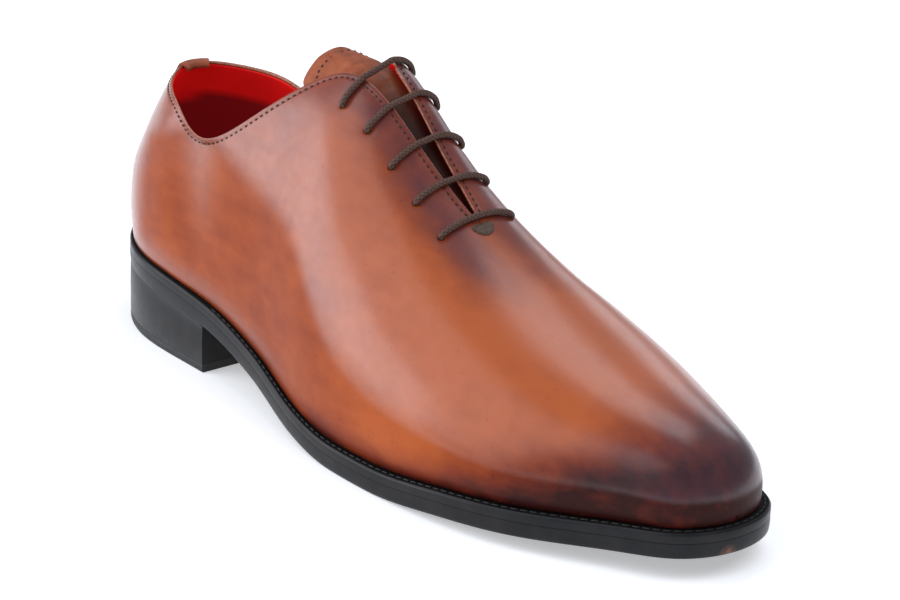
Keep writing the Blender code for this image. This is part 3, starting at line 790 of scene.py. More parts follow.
def build_shell(name, materials, slot, nodes, outer_tuck, inner_tuck, set_back, finished):
    """Closed hollow layer of the upper between two tucks; finished leather gets its relief."""
    s = upper_stations()
    throat = int(np.argmin(np.abs(s - station_at(THROAT_END))))
    medial_edge, lateral_edge = opening_angles(s)
    last_row = NEAR_ROWS + FAR_ROWS - 1
    inner_rows = [*range(0, last_row, INNER_STEP), last_row]
    rim_start = len(inner_rows) - 1
    rim_end = rim_start + RIM_POINTS
    turn = np.pi * np.arange(1, RIM_POINTS)[:, None] / RIM_POINTS
    points = []
    facts = {"dark": [], "smudge_and_sheen": [], "painted_sheen": []}
    faces = []
    kinds = []
    for side, foot, edge in ((-1, np.pi, lateral_edge), (1, 0.0, medial_edge)):
        angles, distance = side_rows(s, np.full(len(s), foot), edge, set_back)
        outer = last_section(s, angles, outer_tuck)
        if finished:
            outer = outer + section_normals(s, angles) * relief(outer, distance, side)[:, :, None]
        inner = last_section(s, angles[:, inner_rows], inner_tuck)
        rim_out, rim_in = outer[:, :1], inner[:, :1]
        away = unit(rim_out - outer[:, 1:2])
        swell = RIM_SWELL * before_throat_end(station_x(s), RIM_FADE)[:, None, None]
        across = (rim_out + rim_in) / 2 - (rim_out - rim_in) / 2 * np.cos(turn)
        rim = across + away * swell * np.sin(turn)
        under = (outer[:, -1:] + inner[:, -1:]) / 2 - (0.0, 0.0, FEATHER_REACH)
        column = np.concatenate([inner[:, ::-1], rim, outer, under], axis=1)
        rows = column.shape[1]
        start = sum(len(part) for part in points)
        joined = {(i, j) for i in range(throat, len(s) - 1) for j in range(rim_start, rim_end)}
        faces += grid_faces(len(s), rows, start, True, joined)
        kinds += [int(rim_start <= j < rim_end) for i in range(len(s) - 1) for j in range(rows)
                  if (i, j) not in joined]
        points.append(column.reshape(-1, 3))
        if finished:
            pad = ((0, 0), (rows - 1 - outer.shape[1], 1))
            upward = section_normals(s, angles)[:, :, 2]
            for fact, values in zip(facts.values(), burnish_and_light_facts(outer, distance, upward)):
                fact.append(np.pad(values, pad, mode="edge").reshape(-1))
    if finished:
        facts = {fact: np.concatenate(values) for fact, values in facts.items()}
    else:
        every = np.concatenate(points)
        facts = {"deep": smooth_step(LINING_DARK_Z(every[:, 0]) - every[:, 2], -0.3, 0.3)}
    item = mesh_piece(name, np.concatenate(points), faces, materials, kinds, facts)
    punch_eyelets(item)
    return finish_piece(item, slot, *nodes)


def punch_eyelets(item):
    """Cut the lace holes with one joined cutter, which is then removed."""
    work = bmesh.new()
    for centres, normals in EYELET_ROWS:
        for centre, normal in zip(centres, normals):
            made = bmesh.ops.create_cone(
                work, cap_ends=True, segments=EYELET_SIDES, radius1=EYELET_RADIUS * MM,
                radius2=EYELET_RADIUS * MM, depth=PUNCH_LENGTH * MM)
            turn = Vector((0, 0, 1)).rotation_difference(Vector(normal)).to_matrix()
            bmesh.ops.rotate(work, verts=made["verts"], cent=(0, 0, 0), matrix=turn)
            bmesh.ops.translate(work, verts=made["verts"], vec=Vector((centre - ORIGIN) * MM))
    mesh = bpy.data.meshes.new("punches")
    work.to_mesh(mesh)
    work.free()
    punches = new_object("punches", mesh)
    cut = item.modifiers.new("eyelets", "BOOLEAN")
    cut.operation = "DIFFERENCE"
    cut.solver = "EXACT"
    cut.object = punches
    bpy.context.view_layer.update()
    graph = bpy.context.evaluated_depsgraph_get()
    result = bpy.data.meshes.new_from_object(item.evaluated_get(graph))
    item.modifiers.clear()
    item.data = result
    bpy.data.objects.remove(punches, do_unlink=True)


EYELET_ROWS = eyelet_places()


def opening_seam():
    """Path of the seam that runs round the opening, lateral and medial, with its normals."""
    s = upper_stations()
    s = s[(s > 0) & (station_x(s) < THROAT_END - SEAM_STOP)]
    medial_edge, lateral_edge = opening_angles(s)
    rows = []
    for foot, edge in ((np.pi, lateral_edge), (0.0, medial_edge)):
        angles, distance = side_rows(s, np.full(len(s), foot), edge)
        phi = np.array([np.interp(SEAM_INSET, d, a) for d, a in zip(distance, angles)])[:, None]
        normal = section_normals(s, phi)[:, 0]
        rows.append((last_section(s, phi)[:, 0] - normal * SEAM_GROOVE * 0.6, normal))
    return rows


# Sole

def sole_ring(t, inset, height):
    edge = edge_points(t, inset)
    return np.column_stack([edge, height(edge[:, 0])])


def cap_faces(loop, reverse):
    """Strips between the two sides of a loop that starts at its rear point."""
    count = len(loop)
    faces = []
    for j in range((count - 1) // 2):
        corners = [loop[j], loop[j + 1], loop[-j - 1], loop[-j]]
        faces.append(tuple(dict.fromkeys(corners)))
    if count % 2 == 0:
        half = count // 2
        faces.append((loop[half - 1], loop[half], loop[half + 1]))
    return [face[::-1] for face in faces] if reverse else faces


def ring_stack(name, rings, materials, slot, nodes, closed=False, angle=SHARP_ANGLE,
               second_from=None):
    """Solid from rings of equal length; closed joins the last ring to the first, and the second
    material starts at the ring second_from."""
    count = len(rings[0])
    faces = []
    pairs = list(zip(range(len(rings)), range(1, len(rings))))
    if closed:
        pairs.append((len(rings) - 1, 0))
    for low, high in pairs:
        for j in range(count):
            k = (j + 1) % count
            faces.append((low * count + j, low * count + k, high * count + k, high * count + j))
    if not closed:
        top = (len(rings) - 1) * count
        faces += cap_faces(list(range(count)), True)
        faces += cap_faces(list(range(top, top + count)), False)
    kinds = None
    if second_from is not None:
        kinds = [int(index // count >= second_from) for index in range(len(faces))]
    item = mesh_piece(name, np.concatenate(rings), faces, materials, kinds, weld=0)
    item.data.set_sharp_from_angle(angle=angle)
    return finish_piece(item, slot, *nodes)


def sole_loop():
    s = np.linspace(0, 1, SOLE_POINTS // 2)
    return np.concatenate([s, 2 - s[1:-1][::-1]])


def profile_rings(t, profile):
    """Rings of a sole edge; its rounded foot stays square over the heel block."""
    rings = []
    over_heel = station_x(t) < HEEL_LENGTH
    for inset, height in profile:
        shown = np.where(over_heel & (inset < 2) & (height < 1), min(inset, HEEL_TUCK), inset)
        rings.append(sole_ring(t, shown, lambda x, h=height: BOTTOM_Z(x) + h))
    return rings


def build_sole(looks):
    t = sole_loop()
    ring_stack("sole_leather", profile_rings(t, OUTSOLE_PROFILE), [looks["sole_edge"]],
               "black_edge_leather", ["outsole"])
    ring_stack("welt_strip", profile_rings(t, WELT_PROFILE), [looks["sole_edge"], looks["ledge"]],
               "black_edge_leather", ["welt"], closed=True, second_from=WELT_LEDGE_RING)
    s = np.linspace(station_at(HEEL_LENGTH + WELT_SEAM_START), 1, WELT_SEAM_POINTS)
    loop = np.concatenate([s, 2 - s[::-1]])
    edge = edge_points(loop, WELT_SEAM_SHARE * RIM_WIDTH(station_x(loop)))
    path = np.column_stack([edge, welt_top(edge[:, 0]) - WELT_SEAM_SINK])
    upward = np.tile((0.0, 0.0, 1.0), (len(path), 1))
    stitch_row("welt_stitches", path, upward, looks["black_thread"], "black_edge_leather", WELT_STITCH)


def heel_rings(profile, low, high):
    """Rings of the heel's outline from the height low up to high, a function of x."""
    s = np.linspace(0, station_at(HEEL_LENGTH), HEEL_POINTS)
    t = np.concatenate([s, 2 - s[1:][::-1]])
    rings = []
    for tuck, share, shift in profile:
        rings.append(sole_ring(t, HEEL_TUCK + tuck, lambda x, a=share, b=shift: low + a * (high(x) - low) + b))
    return rings


def build_heel(looks):
    base = TOP_PIECE_THICKNESS + HEEL_JOINT
    ring_stack("heel_block", heel_rings(HEEL_PROFILE, base, BOTTOM_Z), [looks["sole_edge"]],
               "black_edge_leather", ["heel"])
    lift = heel_rings(LIFT_PROFILE, 0.0, lambda x: np.full_like(x, TOP_PIECE_THICKNESS))
    ring_stack("top_lift", lift, [looks["rubber"]], "rubber_top_piece", ["top_piece"])


def build_sock(looks):
    """Sock over the insole board, its edge close to the lining and slightly rolled."""
    t = sole_loop()
    inset = RIM_WIDTH(station_x(t)) + UPPER_WALL
    rings = []
    for tuck, height in SOCK_PROFILE:
        rings.append(sole_ring(t, inset + tuck, lambda x, h=height: welt_top(x) + GAP + h))
    ring_stack("sock", rings, [looks["sock"]], "sock_leather", ["insole"], angle=SOFT_ANGLE)


# Tongue, tab, lace and thread

def build_tongue(looks):
    """Leather tongue under the throat, dented where the lace runs below the facings."""
    along = np.linspace(0, 1, TONGUE_ROWS)
    x = np.interp(along, np.linspace(0, 1, len(TONGUE)), TONGUE[:, 0])
    half = natural_spline(TONGUE[::-1, (0, 1)])(x)
    depth_at = even_spline(TONGUE[::-1, (0, 2)])
    columns = np.linspace(-1, 1, TONGUE_COLUMNS)
    window = smooth_step(x, *TONGUE_DENT_STARTS) * (1 - smooth_step(x, *TONGUE_DENT_STOPS))
    top = []
    low = []
    for column in columns:
        aside = column * half
        place, normal = on_top(x, THROAT_Y + aside)
        dent = TONGUE_DENT * bell(np.abs(aside), EYELET_HALF_SPACING, TONGUE_DENT_WIDTH) * window
        depth = (depth_at(x) + dent)[:, None]
        top.append(place - normal * depth)
        low.append(place - normal * (depth + TONGUE_WALL))
    top = np.array(top)
    low = np.array(low)
    sheets = [top, (top + low) / 2, low]
    outward = np.zeros_like(top)
    outward[0] += top[0] - top[1]
    outward[-1] += top[-1] - top[-2]
    outward[:, -1] += top[:, -1] - top[:, -2]
    outward[:, 0] += top[:, 0] - top[:, 1]
    sheets[1] = sheets[1] + unit(outward) * TONGUE_ROLL
    count = TONGUE_COLUMNS * TONGUE_ROWS
    points = np.concatenate([sheet.reshape(-1, 3) for sheet in sheets])
    grid = grid_faces(TONGUE_COLUMNS, TONGUE_ROWS)
    faces = grid + [tuple(2 * count + corner for corner in face[::-1]) for face in grid]
    kinds = [0] * len(grid) + [1] * len(grid)
    index = np.arange(count).reshape(TONGUE_COLUMNS, TONGUE_ROWS)
    border = np.concatenate([index[:, 0], index[-1, 1:], index[-2::-1, -1], index[0, -2:0:-1]])
    for level in (0, 1):
        base = level * count
        for a, b in zip(border.tolist(), np.roll(border, -1).tolist()):
            faces.append((base + a, base + count + a, base + count + b, base + b))
            kinds.append(level)
    # Painted shade: the tongue darkens down the throat, under the facings
    shade = np.tile(smooth_step(x, *TONGUE_PAINTED_SHADE), 3 * TONGUE_COLUMNS)
    materials = [looks["tongue"], looks["lining"]]
    item = mesh_piece("tongue_leather", points, faces, materials, kinds, {"shade": shade})
    finish_piece(item, "tongue_calf", "tongue")
    seam_x = TONGUE[-1, 0] + TONGUE_SEAM_INSET + TONGUE_SEAM_REACH * np.linspace(1, 0, TONGUE_SEAM_POINTS) ** 2
    half_width = natural_spline(TONGUE[::-1, (0, 1)])(seam_x - TONGUE_SEAM_INSET) * TONGUE_SEAM_SHARE
    seam_x = np.concatenate([seam_x, seam_x[::-1]])
    seam_y = THROAT_Y + np.concatenate([-half_width, half_width[::-1]])
    place, normal = on_top(seam_x, seam_y)
    place = place - normal * depth_at(seam_x)[:, None]
    stitch_row("tongue_seam", place, normal, looks["dark_thread"], "tongue_calf")


def build_tab(looks):
    """Folded strip over the back of the collar."""
    reach = station_at(TAB_REACH_X)
    s = np.abs(np.linspace(-reach, reach, TAB_COLUMNS))
    lateral = np.arange(TAB_COLUMNS) <= TAB_COLUMNS // 2
    medial_edge, lateral_edge = opening_angles(s)
    edge = np.where(lateral, lateral_edge, medial_edge)
    downward = np.where(lateral, 1.0, -1.0)
    small = 1e-3
    step = last_section(s, (edge + small)[:, None])[:, 0] - last_section(s, (edge - small)[:, None])[:, 0]
    speed = np.linalg.norm(step, axis=1) / (2 * small)
    upward = -unit(step) * downward[:, None]
    out = section_normals(s, edge[:, None])[:, 0]

    def leg(lift, length):
        """Rows of one face of a leg, from its lower end up to the collar's edge."""
        rows = []
        for depth in np.linspace(length, GAP, TAB_LEG_ROWS):
            phi = (edge + downward * depth / speed)[:, None]
            rows.append(last_section(s, phi)[:, 0] + section_normals(s, phi)[:, 0] * lift)
        return rows

    def crest(extra):
        """Rows over the collar's edge, thicker by the extra."""
        radius = (UPPER_WALL + 3 * GAP) / 2 + extra
        middle = last_section(s, edge[:, None])[:, 0] - out * (UPPER_WALL + GAP) / 2
        turns = np.linspace(0, math.pi, TAB_CREST_ROWS + 2)[1:-1]
        return [middle + out * radius * math.cos(turn) + upward * (TAB_CREST + extra) * math.sin(turn)
                for turn in turns]

    inside = -UPPER_WALL - 2 * GAP
    outer = leg(GAP + TAB_WALL, TAB_LEG) + crest(TAB_WALL) + leg(inside - TAB_WALL, TAB_INNER_LEG)[::-1]
    inner = leg(GAP, TAB_LEG) + crest(0.0) + leg(inside, TAB_INNER_LEG)[::-1]
    loop = np.array(outer + inner[::-1]).transpose(1, 0, 2)
    rows = loop.shape[1]
    faces = grid_faces(TAB_COLUMNS, rows, 0, True)
    for end in (0, (TAB_COLUMNS - 1) * rows):
        for j in range(rows // 2 - 1):
            faces.append((end + j, end + j + 1, end + rows - 2 - j, end + rows - 1 - j))
    item = mesh_piece("collar_tab", loop.reshape(-1, 3), faces, [looks["tongue"]])
    item.data.set_sharp_from_angle(angle=SOFT_ANGLE)
    finish_piece(item, "tongue_calf", "heel_tab")


def lace_bar(index):
    """Path of one bar above the facings, from the lateral hole to the medial one."""
    x = EYELET_FIRST_X + EYELET_PITCH_X * index
    reach = EYELET_HALF_SPACING - LACE_BEND
    aside = np.linspace(-reach, reach, LACE_BAR_POINTS)
    place, normal = on_top(np.full(len(aside), x), THROAT_Y + aside)
    path = place + normal * (LACE_RADIUS + LACE_CLEARANCE)
    resting = np.abs(aside) > GAP_HALF(x)
    for axis in range(3):
        path[:, axis] = np.interp(aside, aside[resting], path[resting, axis])
    return path


def hole_points(row, index):
    """Points through a lace hole, from below the lining to the outside."""
    centres, normals = EYELET_ROWS[row]
    return centres[index] + normals[index] * np.array(LACE_LEVELS)[:, None]


def under_run(row, start, end):
    """Points below the facing between two holes of the same row."""
    side = -1 if row == 0 else 1
    share = np.linspace(0, 1, 2 + 4 * abs(end - start))[1:-1]
    x = EYELET_FIRST_X + EYELET_PITCH_X * (start + (end - start) * share)
    place, normal = on_top(x, np.full(len(x), THROAT_Y + side * EYELET_HALF_SPACING))
    return place - normal * (LACE_UNDER + LACE_CLEARANCE)


def lace_path():
    """The whole lace: its ends stop below the two top holes."""
    last = EYELETS - 1
    parts = [under_run(0, 0, last)]
    row = 0
    for index in range(last, -1, -1):
        bar = lace_bar(index)
        parts += [hole_points(row, index), bar if row == 0 else bar[::-1], hole_points(1 - row, index)[::-1]]
        row = 1 - row
        if index:
            parts.append(under_run(row, index, index - 1))
    return np.concatenate(parts)


def smooth_path(points, spacing):
    """Catmull-Rom curve through the points, read at an even spacing."""
    ends = np.concatenate([[2 * points[0] - points[1]], points, [2 * points[-1] - points[-2]]])
    t = np.linspace(0, 1, 12, endpoint=False)[:, None]
    parts = []
    for a, b, c, d in zip(ends, ends[1:], ends[2:], ends[3:]):
        bend = (2 * a - 5 * b + 4 * c - d) * t ** 2 + (3 * b - a - 3 * c + d) * t ** 3
        parts.append(0.5 * (2 * b + (c - a) * t + bend))
    fine = np.concatenate(parts + [points[-1:]])
    length = run_length(fine)
    return read_along(fine, length, np.linspace(0, length[-1], int(length[-1] / spacing)))


def build_lace(looks):
    """Round cord of plaited yarn, swept along its path."""
    path = smooth_path(lace_path(), LACE_STEP)
    along = unit(np.gradient(path, axis=0))
    side = np.zeros_like(along)
    side[0] = np.cross(along[0], (0.0, 0.0, 1.0))
    for i in range(1, len(path)):
        side[i] = unit(side[i - 1] - along[i] * (side[i - 1] @ along[i]))
    rise = np.cross(along, side)
    turn = np.arange(LACE_SIDES) * 2 * math.pi / LACE_SIDES
    twist = 2 * math.pi * np.arange(len(path))[:, None] * LACE_STEP / LACE_TURN_LENGTH
    plait = np.abs(np.sin(2 * turn + twist)) + np.abs(np.sin(2 * turn - twist))
    radius = LACE_RADIUS * (LACE_SLIM + PLAIT_DEPTH * (plait - PLAIT_MIDDLE))
    ring = side[:, None] * np.cos(turn)[:, None] + rise[:, None] * np.sin(turn)[:, None]
    points = path[:, None] + ring * radius[:, :, None]
    faces = grid_faces(len(path), LACE_SIDES, 0, True)
    last = (len(path) - 1) * LACE_SIDES
    faces.append(tuple(range(LACE_SIDES)))
    faces.append(tuple(range(last, last + LACE_SIDES))[::-1])
    facts = {"plait": plait.reshape(-1)}
    item = mesh_piece("lace", points.reshape(-1, 3), faces, [looks["lace"]], facts=facts, weld=0)
    finish_piece(item, "waxed_cotton", *[f"lace_bar_{index + 1}" for index in range(EYELETS)])


def build_bar_tack(looks):
    """Half moon of close thread at the foot of the throat."""
    aside = np.linspace(-TACK_HALF_WIDTH, TACK_HALF_WIDTH, TACK_THREADS)
    reach = TACK_LENGTH * np.sqrt(1 - (aside / TACK_ROUND) ** 2)
    start_x = THROAT_END - TACK_OVERLAP
    start, normal = on_top(np.full(len(aside), start_x), THROAT_Y + aside)
    end, _ = on_top(start_x + reach, THROAT_Y + aside * TACK_SPREAD)
    capsules("bar_tack", start, end, normal, TACK_RADIUS, looks["tack_thread"], "waxed_cotton", TACK_SINK)


# Materials

class Look:
    """A material under construction: its nodes, its shader and the shoe's own coordinates."""

    def __init__(self, name, **sockets):
        self.material = bpy.data.materials.new(name)
        self.material.use_nodes = True
        self.tree = self.material.node_tree
        self.shader = self.tree.nodes["Principled BSDF"]
        for socket, value in sockets.items():
            label = socket.replace("_", " ").title().replace("Ior", "IOR")
            self.shader.inputs[label].default_value = value
        self.place = self.node("TexCoord").outputs["Object"]

    def node(self, kind, **settings):
        made = self.tree.nodes.new("ShaderNode" + kind)
        for key, value in settings.items():
            setattr(made, key, value)
        return made

    def feed(self, socket, value):
        """Set a socket to a colour or number, or link another socket to it."""
        if isinstance(value, tuple):
            socket.default_value = (*value, 1.0)
        elif isinstance(value, (int, float)):
            socket.default_value = value
        else:
            self.tree.links.new(value, socket)

    def texture(self, kind, size, stretch=(1.0, 1.0, 1.0), **settings):
        """Texture with features of about the given size in mm."""
        mapping = self.node("Mapping")
        mapping.inputs["Scale"].default_value = [1.0 / (size * MM * part) for part in stretch]
        self.feed(mapping.inputs["Vector"], self.place)
        made = self.node(kind, **settings)
        made.inputs["Scale"].default_value = 1.0
        self.feed(made.inputs["Vector"], mapping.outputs["Vector"])
        return made

    def noise(self, size, detail=3.0, stretch=(1.0, 1.0, 1.0)):
        made = self.texture("TexNoise", size, stretch)
        made.inputs["Detail"].default_value = detail
        return made.outputs["Fac"]

    def cells(self, size):
        """Distance to the edges of small cells, for pores and grain."""
        return self.texture("TexVoronoi", size, feature="DISTANCE_TO_EDGE").outputs["Distance"]

    def near(self, place, reach):
        """1 at a place of the shoe, falling to 0 at the given reach in mm."""
        made = self.node("VectorMath", operation="DISTANCE")
        made.inputs[1].default_value = [float(part) for part in (np.array(place) - ORIGIN) * MM]
        self.feed(made.inputs[0], self.place)
        return self.math("SUBTRACT", 1.0, self.math("DIVIDE", made.outputs["Value"], reach * MM), clamp=True)

    def fact(self, name):
        return self.node("Attribute", attribute_name=name).outputs["Fac"]

    def math(self, operation, first, second, clamp=False):
        made = self.node("Math", operation=operation, use_clamp=clamp)
        self.feed(made.inputs[0], first)
        self.feed(made.inputs[1], second)
        return made.outputs["Value"]

    def add(self, first, second, clamp=False):
        return self.math("ADD", first, second, clamp)

    def times(self, first, second, clamp=False):
        return self.math("MULTIPLY", first, second, clamp)

    def spread(self, value, low, high):
        """value from 0..1 stretched to low..high."""
        return self.add(self.times(value, high - low), low)

    def vary(self, low, high, size, detail=3.0):
        """Noise with features of the given size, between low and high."""
        return self.spread(self.noise(size, detail), low, high)

    def ramp(self, value, *stops):
        made = self.node("ValToRGB")
        elements = made.color_ramp.elements
        while len(elements) < len(stops):
            elements.new(0.5)
        for element, (position, colour) in zip(elements, stops):
            element.position = position
            element.color = (*colour, 1.0)
        self.feed(made.inputs["Fac"], value)
        return made.outputs["Color"]

    def mix(self, amount, first, second, blend="MIX"):
        made = self.node("Mix", data_type="RGBA", blend_type=blend)
        for socket, value in ((0, amount), (6, first), (7, second)):
            self.feed(made.inputs[socket], value)
        return made.outputs[2]

    def bump(self, height, depth, under=None):
        """Bump of the given depth in mm, over another one."""
        made = self.node("Bump")
        made.inputs["Strength"].default_value = 1.0
        made.inputs["Distance"].default_value = depth * MM
        self.feed(made.inputs["Height"], height)
        if under is not None:
            self.feed(made.inputs["Normal"], under)
        return made.outputs["Normal"]

    def wear(self, colour, roughness=None, normal=None):
        for name, value in (("Base Color", colour), ("Roughness", roughness), ("Normal", normal)):
            if value is not None:
                self.feed(self.shader.inputs[name], value)
        return self.material


def calf_look():
    """Cognac calf, burnished by hand to burgundy at the toe, welt and facings, and glazed; the colour carries
    painted shade on the sides and the coat follows the painted sheen.
    """
    look = Look("calf", coat_roughness=0.24, coat_ior=1.5, ior=1.2)
    # The coat's weight follows the painted sheen, broken up a little by noise
    sheen = look.times(look.fact("painted_sheen"), look.vary(0.7, 1.3, 3.0, 5.0))
    look.feed(look.shader.inputs["Coat Weight"], look.spread(sheen, 0.04, 0.95))
    patina = look.add(look.vary(-0.2, 0.2, 26.0), look.vary(-0.12, 0.12, 8.0, 4.0))
    dark = look.add(look.fact("dark"), patina)
    streak = look.noise(5.0, 5.0, (3.5, 1.0, 1.0))
    brushed = look.times(look.spread(streak, -0.5, 0.5), look.spread(look.fact("dark"), 0.18, 0.75))
    colour = look.ramp(
        look.add(dark, brushed, clamp=True),
        (0.0, (0.40, 0.082, 0.016)),
        (0.25, (0.29, 0.052, 0.010)),
        (0.5, (0.19, 0.027, 0.007)),
        (0.75, (0.095, 0.013, 0.006)),
        (1.0, (0.030, 0.005, 0.004)))
    # Purple smudges, with painted bluish reflection on the upward toe
    smudge_and_sheen = look.times(look.fact("smudge_and_sheen"), look.vary(0.1, 1.2, 9.0, 4.0), clamp=True)
    colour = look.mix(look.times(smudge_and_sheen, 0.75), colour, (0.055, 0.020, 0.032))
    speck = look.ramp(look.noise(1.3, 2.0), (0.68, (1.0, 1.0, 1.0)), (0.78, (0.62, 0.55, 0.52)))
    colour = look.mix(1.0, colour, speck, "MULTIPLY")
    pores = look.bump(look.cells(0.55), 0.012)
    grain = look.bump(look.noise(1.6, 4.0), 0.03, pores)
    return look.wear(colour, look.vary(0.34, 0.5, 5.0, 4.0), look.bump(look.noise(14.0, 2.0), 0.05, grain))


def raw_edge_look():
    """Cut or folded edge of the calf, pale pinkish tan with loose fibres."""
    look = Look("raw_edge", coat_weight=0.15, coat_roughness=0.3)
    colour = look.ramp(
        look.noise(0.8, 5.0),
        (0.3, (0.20, 0.065, 0.032)), (0.55, (0.42, 0.17, 0.10)), (0.8, (0.56, 0.27, 0.18)))
    return look.wear(colour, look.vary(0.5, 0.75, 0.5), look.bump(look.noise(0.35, 5.0), 0.06))


def lining_look():
    """Red lining leather, matt and lightly grained, with a painted glow in its own colour that brightens the
    inside.
    """
    look = Look("red_lining", coat_weight=0.05, coat_roughness=0.4, ior=1.25, emission_strength=0.27)
    colour = look.ramp(look.noise(18.0, 4.0), (0.3, (0.58, 0.006, 0.006)), (0.7, (0.74, 0.009, 0.009)))
    # Darker lower part of the lining, which also glows less
    colour = look.mix(look.fact("deep"), colour, (0.20, 0.006, 0.008))
    # Painted light: the lining glows with its own colour
    look.feed(look.shader.inputs["Emission Color"], colour)
    grain = look.bump(look.cells(0.8), 0.03)
    return look.wear(colour, look.vary(0.42, 0.6, 2.0), look.bump(look.noise(3.0, 4.0), 0.05, grain))


def sock_look():
    look = Look("sock_red", coat_weight=0.05, coat_roughness=0.4, ior=1.25)
    colour = look.ramp(look.noise(22.0, 4.0), (0.3, (0.12, 0.004, 0.006)), (0.7, (0.19, 0.006, 0.008)))
    grain = look.bump(look.cells(0.9), 0.03)
    return look.wear(colour, look.vary(0.45, 0.62, 2.0), look.bump(look.noise(4.0, 4.0), 0.08, grain))


def tongue_look():
    """Brown calf of the tongue and tab, glazed but softer than the upper, with painted shade down the throat.
    """
    look = Look("tongue_brown", coat_weight=0.12, coat_roughness=0.3, ior=1.25)
    mottle = look.add(look.times(look.noise(16.0, 4.0), 0.7), look.times(look.noise(3.0, 4.0), 0.3))
    colour = look.ramp(
        mottle, (0.35, (0.13, 0.030, 0.012)), (0.5, (0.28, 0.072, 0.030)), (0.68, (0.40, 0.115, 0.050)))
    # Painted shade down the throat
    colour = look.mix(look.fact("shade"), colour, (0.020, 0.006, 0.004))
    grain = look.bump(look.cells(0.7), 0.03)
    return look.wear(colour, look.vary(0.38, 0.55, 2.0), look.bump(look.noise(3.0, 4.0), 0.05, grain))


def sole_edge_look():
    """Leather blacked and polished, with faint lines of its layers and a few scuffs."""
    look = Look("blacked_edge", coat_weight=0.22, coat_roughness=0.22, ior=1.2)
    layers = look.noise(1.4, 3.0, (30.0, 30.0, 0.35))
    colour = look.ramp(
        look.noise(9.0, 5.0),
        (0.35, (0.008, 0.008, 0.009)), (0.72, (0.016, 0.015, 0.016)), (0.85, (0.03, 0.024, 0.022)))
    roughness = look.vary(0.3, 0.5, 3.0, 4.0)
    worn = look.times(look.near(WORN_SPOT, WORN_REACH), look.vary(-0.4, 2.6, 1.5, 4.0), clamp=True)
    colour = look.mix(worn, colour, (0.17, 0.075, 0.050))
    return look.wear(colour, roughness, look.bump(look.noise(0.5, 4.0), 0.02, look.bump(layers, 0.05)))


def ledge_look():
    """Top of the welt: unpolished black leather, painted darker than the edge as shade in the crevice under
    the upper.
    """
    look = Look("welt_ledge_shaded", ior=1.2)
    colour = look.ramp(look.noise(4.0, 5.0), (0.35, (0.004, 0.004, 0.004)), (0.8, (0.011, 0.010, 0.010)))
    return look.wear(colour, look.vary(0.6, 0.8, 2.0), look.bump(look.noise(0.6, 4.0), 0.04))


def rubber_look():
    look = Look("rubber")
    colour = look.ramp(look.noise(6.0, 5.0), (0.35, (0.010, 0.010, 0.011)), (0.8, (0.024, 0.022, 0.021)))
    return look.wear(colour, look.vary(0.5, 0.7, 2.0), look.bump(look.cells(0.9), 0.05))


def lace_look():
    """Waxed brown cord, with painted shade between the yarns and a painted highlight on their backs."""
    look = Look("waxed_cord", coat_weight=0.06, coat_roughness=0.35, ior=1.3)
    # Painted shade in the grooves between the yarns and painted highlight on their backs, from the plait
    yarn = look.times(look.fact("plait"), 0.6, clamp=True)
    shade = look.add(look.times(yarn, 0.7), look.times(look.noise(1.2, 5.0), 0.45), clamp=True)
    colour = look.ramp(
        shade, (0.25, (0.016, 0.007, 0.006)), (0.6, (0.055, 0.026, 0.019)), (0.95, (0.115, 0.064, 0.047)))
    return look.wear(colour, look.vary(0.5, 0.7, 0.6), look.bump(look.noise(0.22, 4.0), 0.05))


def thread_look(name, colour):
    look = Look(name)
    deep = tuple(0.45 * part for part in colour)
    shade = look.ramp(look.noise(0.7, 3.0), (0.35, deep), (0.65, colour))
    return look.wear(shade, look.vary(0.5, 0.7, 0.5), look.bump(look.noise(0.25, 3.0), 0.05))


def floor_look():
    look = Look("floor_paper", roughness=0.9, emission_strength=0.4)
    look.shader.inputs["Emission Color"].default_value = (1.0, 1.0, 1.0, 1.0)
    colour = look.ramp(look.noise(60.0, 2.0), (0.0, (0.80, 0.80, 0.81)), (1.0, (0.83, 0.83, 0.84)))
    return look.wear(colour)


def make_looks():
    looks = {
        "calf": calf_look(),
        "raw_edge": raw_edge_look(),
        "lining": lining_look(),
        "sock": sock_look(),
        "tongue": tongue_look(),
        "sole_edge": sole_edge_look(),
        "ledge": ledge_look(),
        "rubber": rubber_look(),
        "lace": lace_look(),
    }
    for name, colour in THREADS.items():
        looks[name] = thread_look(name, colour)
    return looks


# Scene

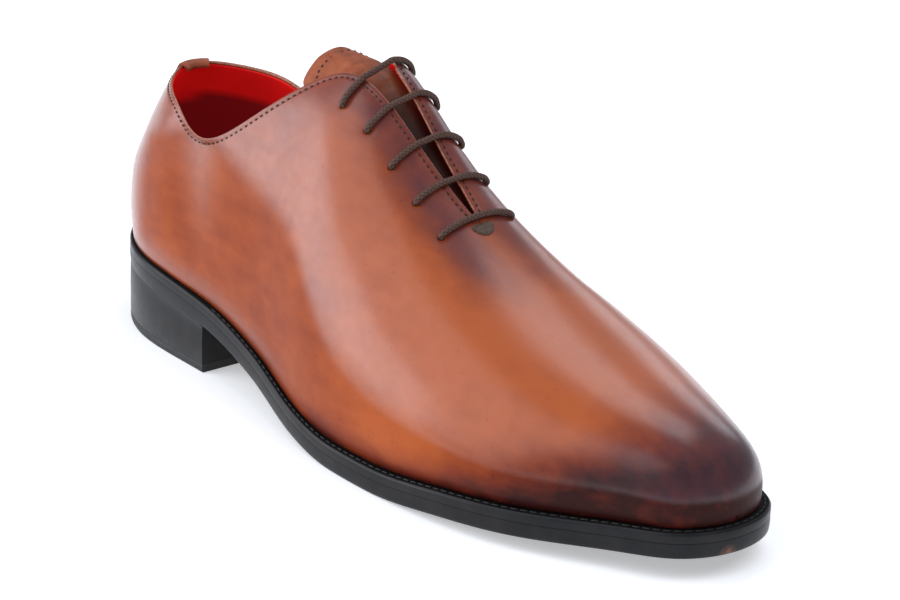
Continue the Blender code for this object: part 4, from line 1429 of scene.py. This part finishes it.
def add_camera():
    data = bpy.data.cameras.new("camera")
    data.lens = CAMERA_LENS
    data.clip_start = 0.01
    camera = new_object("camera", data)
    place = Vector(CAMERA_PLACE)
    look = (Vector(CAMERA_AIM) - place).to_track_quat("-Z", "Y").to_matrix().to_4x4()
    roll = Matrix.Rotation(math.radians(CAMERA_ROLL), 4, "Z")
    camera.matrix_world = Matrix.Translation(place) @ look @ roll
    bpy.context.scene.camera = camera


def add_lights():
    middle = Vector(LIGHTS_AIM)
    for name, (azimuth, elevation, distance, width, height, watts, mirrored) in LIGHTS.items():
        a, e = math.radians(azimuth), math.radians(elevation)
        toward = Vector((math.sin(a) * math.cos(e), -math.cos(a) * math.cos(e), math.sin(e)))
        data = bpy.data.lights.new(name, "AREA")
        data.shape = "RECTANGLE"
        data.size = width
        data.size_y = height
        data.energy = watts
        data.color = LIGHT_COLOUR
        light = new_object(name, data)
        light.location = middle + toward * distance
        light.visible_glossy = mirrored
        light.rotation_euler = (-toward).to_track_quat("-Z", "Y").to_euler()


def add_world():
    world = bpy.data.worlds.new("studio")
    world.use_nodes = True
    background = world.node_tree.nodes["Background"]
    background.inputs["Color"].default_value = WORLD_COLOUR
    background.inputs["Strength"].default_value = WORLD_STRENGTH
    bpy.context.scene.world = world


def add_floor():
    bpy.ops.mesh.primitive_plane_add(size=FLOOR_SIZE, location=(0.0, 0.0, 0.0))
    floor = bpy.context.active_object
    floor.name = "floor"
    floor.data.materials.append(floor_look())


def main():
    looks = make_looks()
    add_camera()
    build_lace(looks)
    build_shell("upper_leather", [looks["calf"], looks["raw_edge"]], "burnished_calf", ["upper"],
                0.0, LEATHER, 0.0, True)
    build_shell("upper_lining", [looks["lining"], looks["lining"]], "sock_leather", [],
                LEATHER + 0.05, UPPER_WALL, LINING_SET_BACK, False)
    for side, (path, normals) in zip(("lateral", "medial"), opening_seam()):
        stitch_row(f"opening_seam_{side}", path, normals, looks["dark_thread"], "burnished_calf")
    build_tongue(looks)
    build_tab(looks)
    build_bar_tack(looks)
    build_sole(looks)
    build_heel(looks)
    build_sock(looks)
    add_floor()
    add_lights()
    add_world()
    bpy.context.scene.view_settings.view_transform = "Standard"


main()
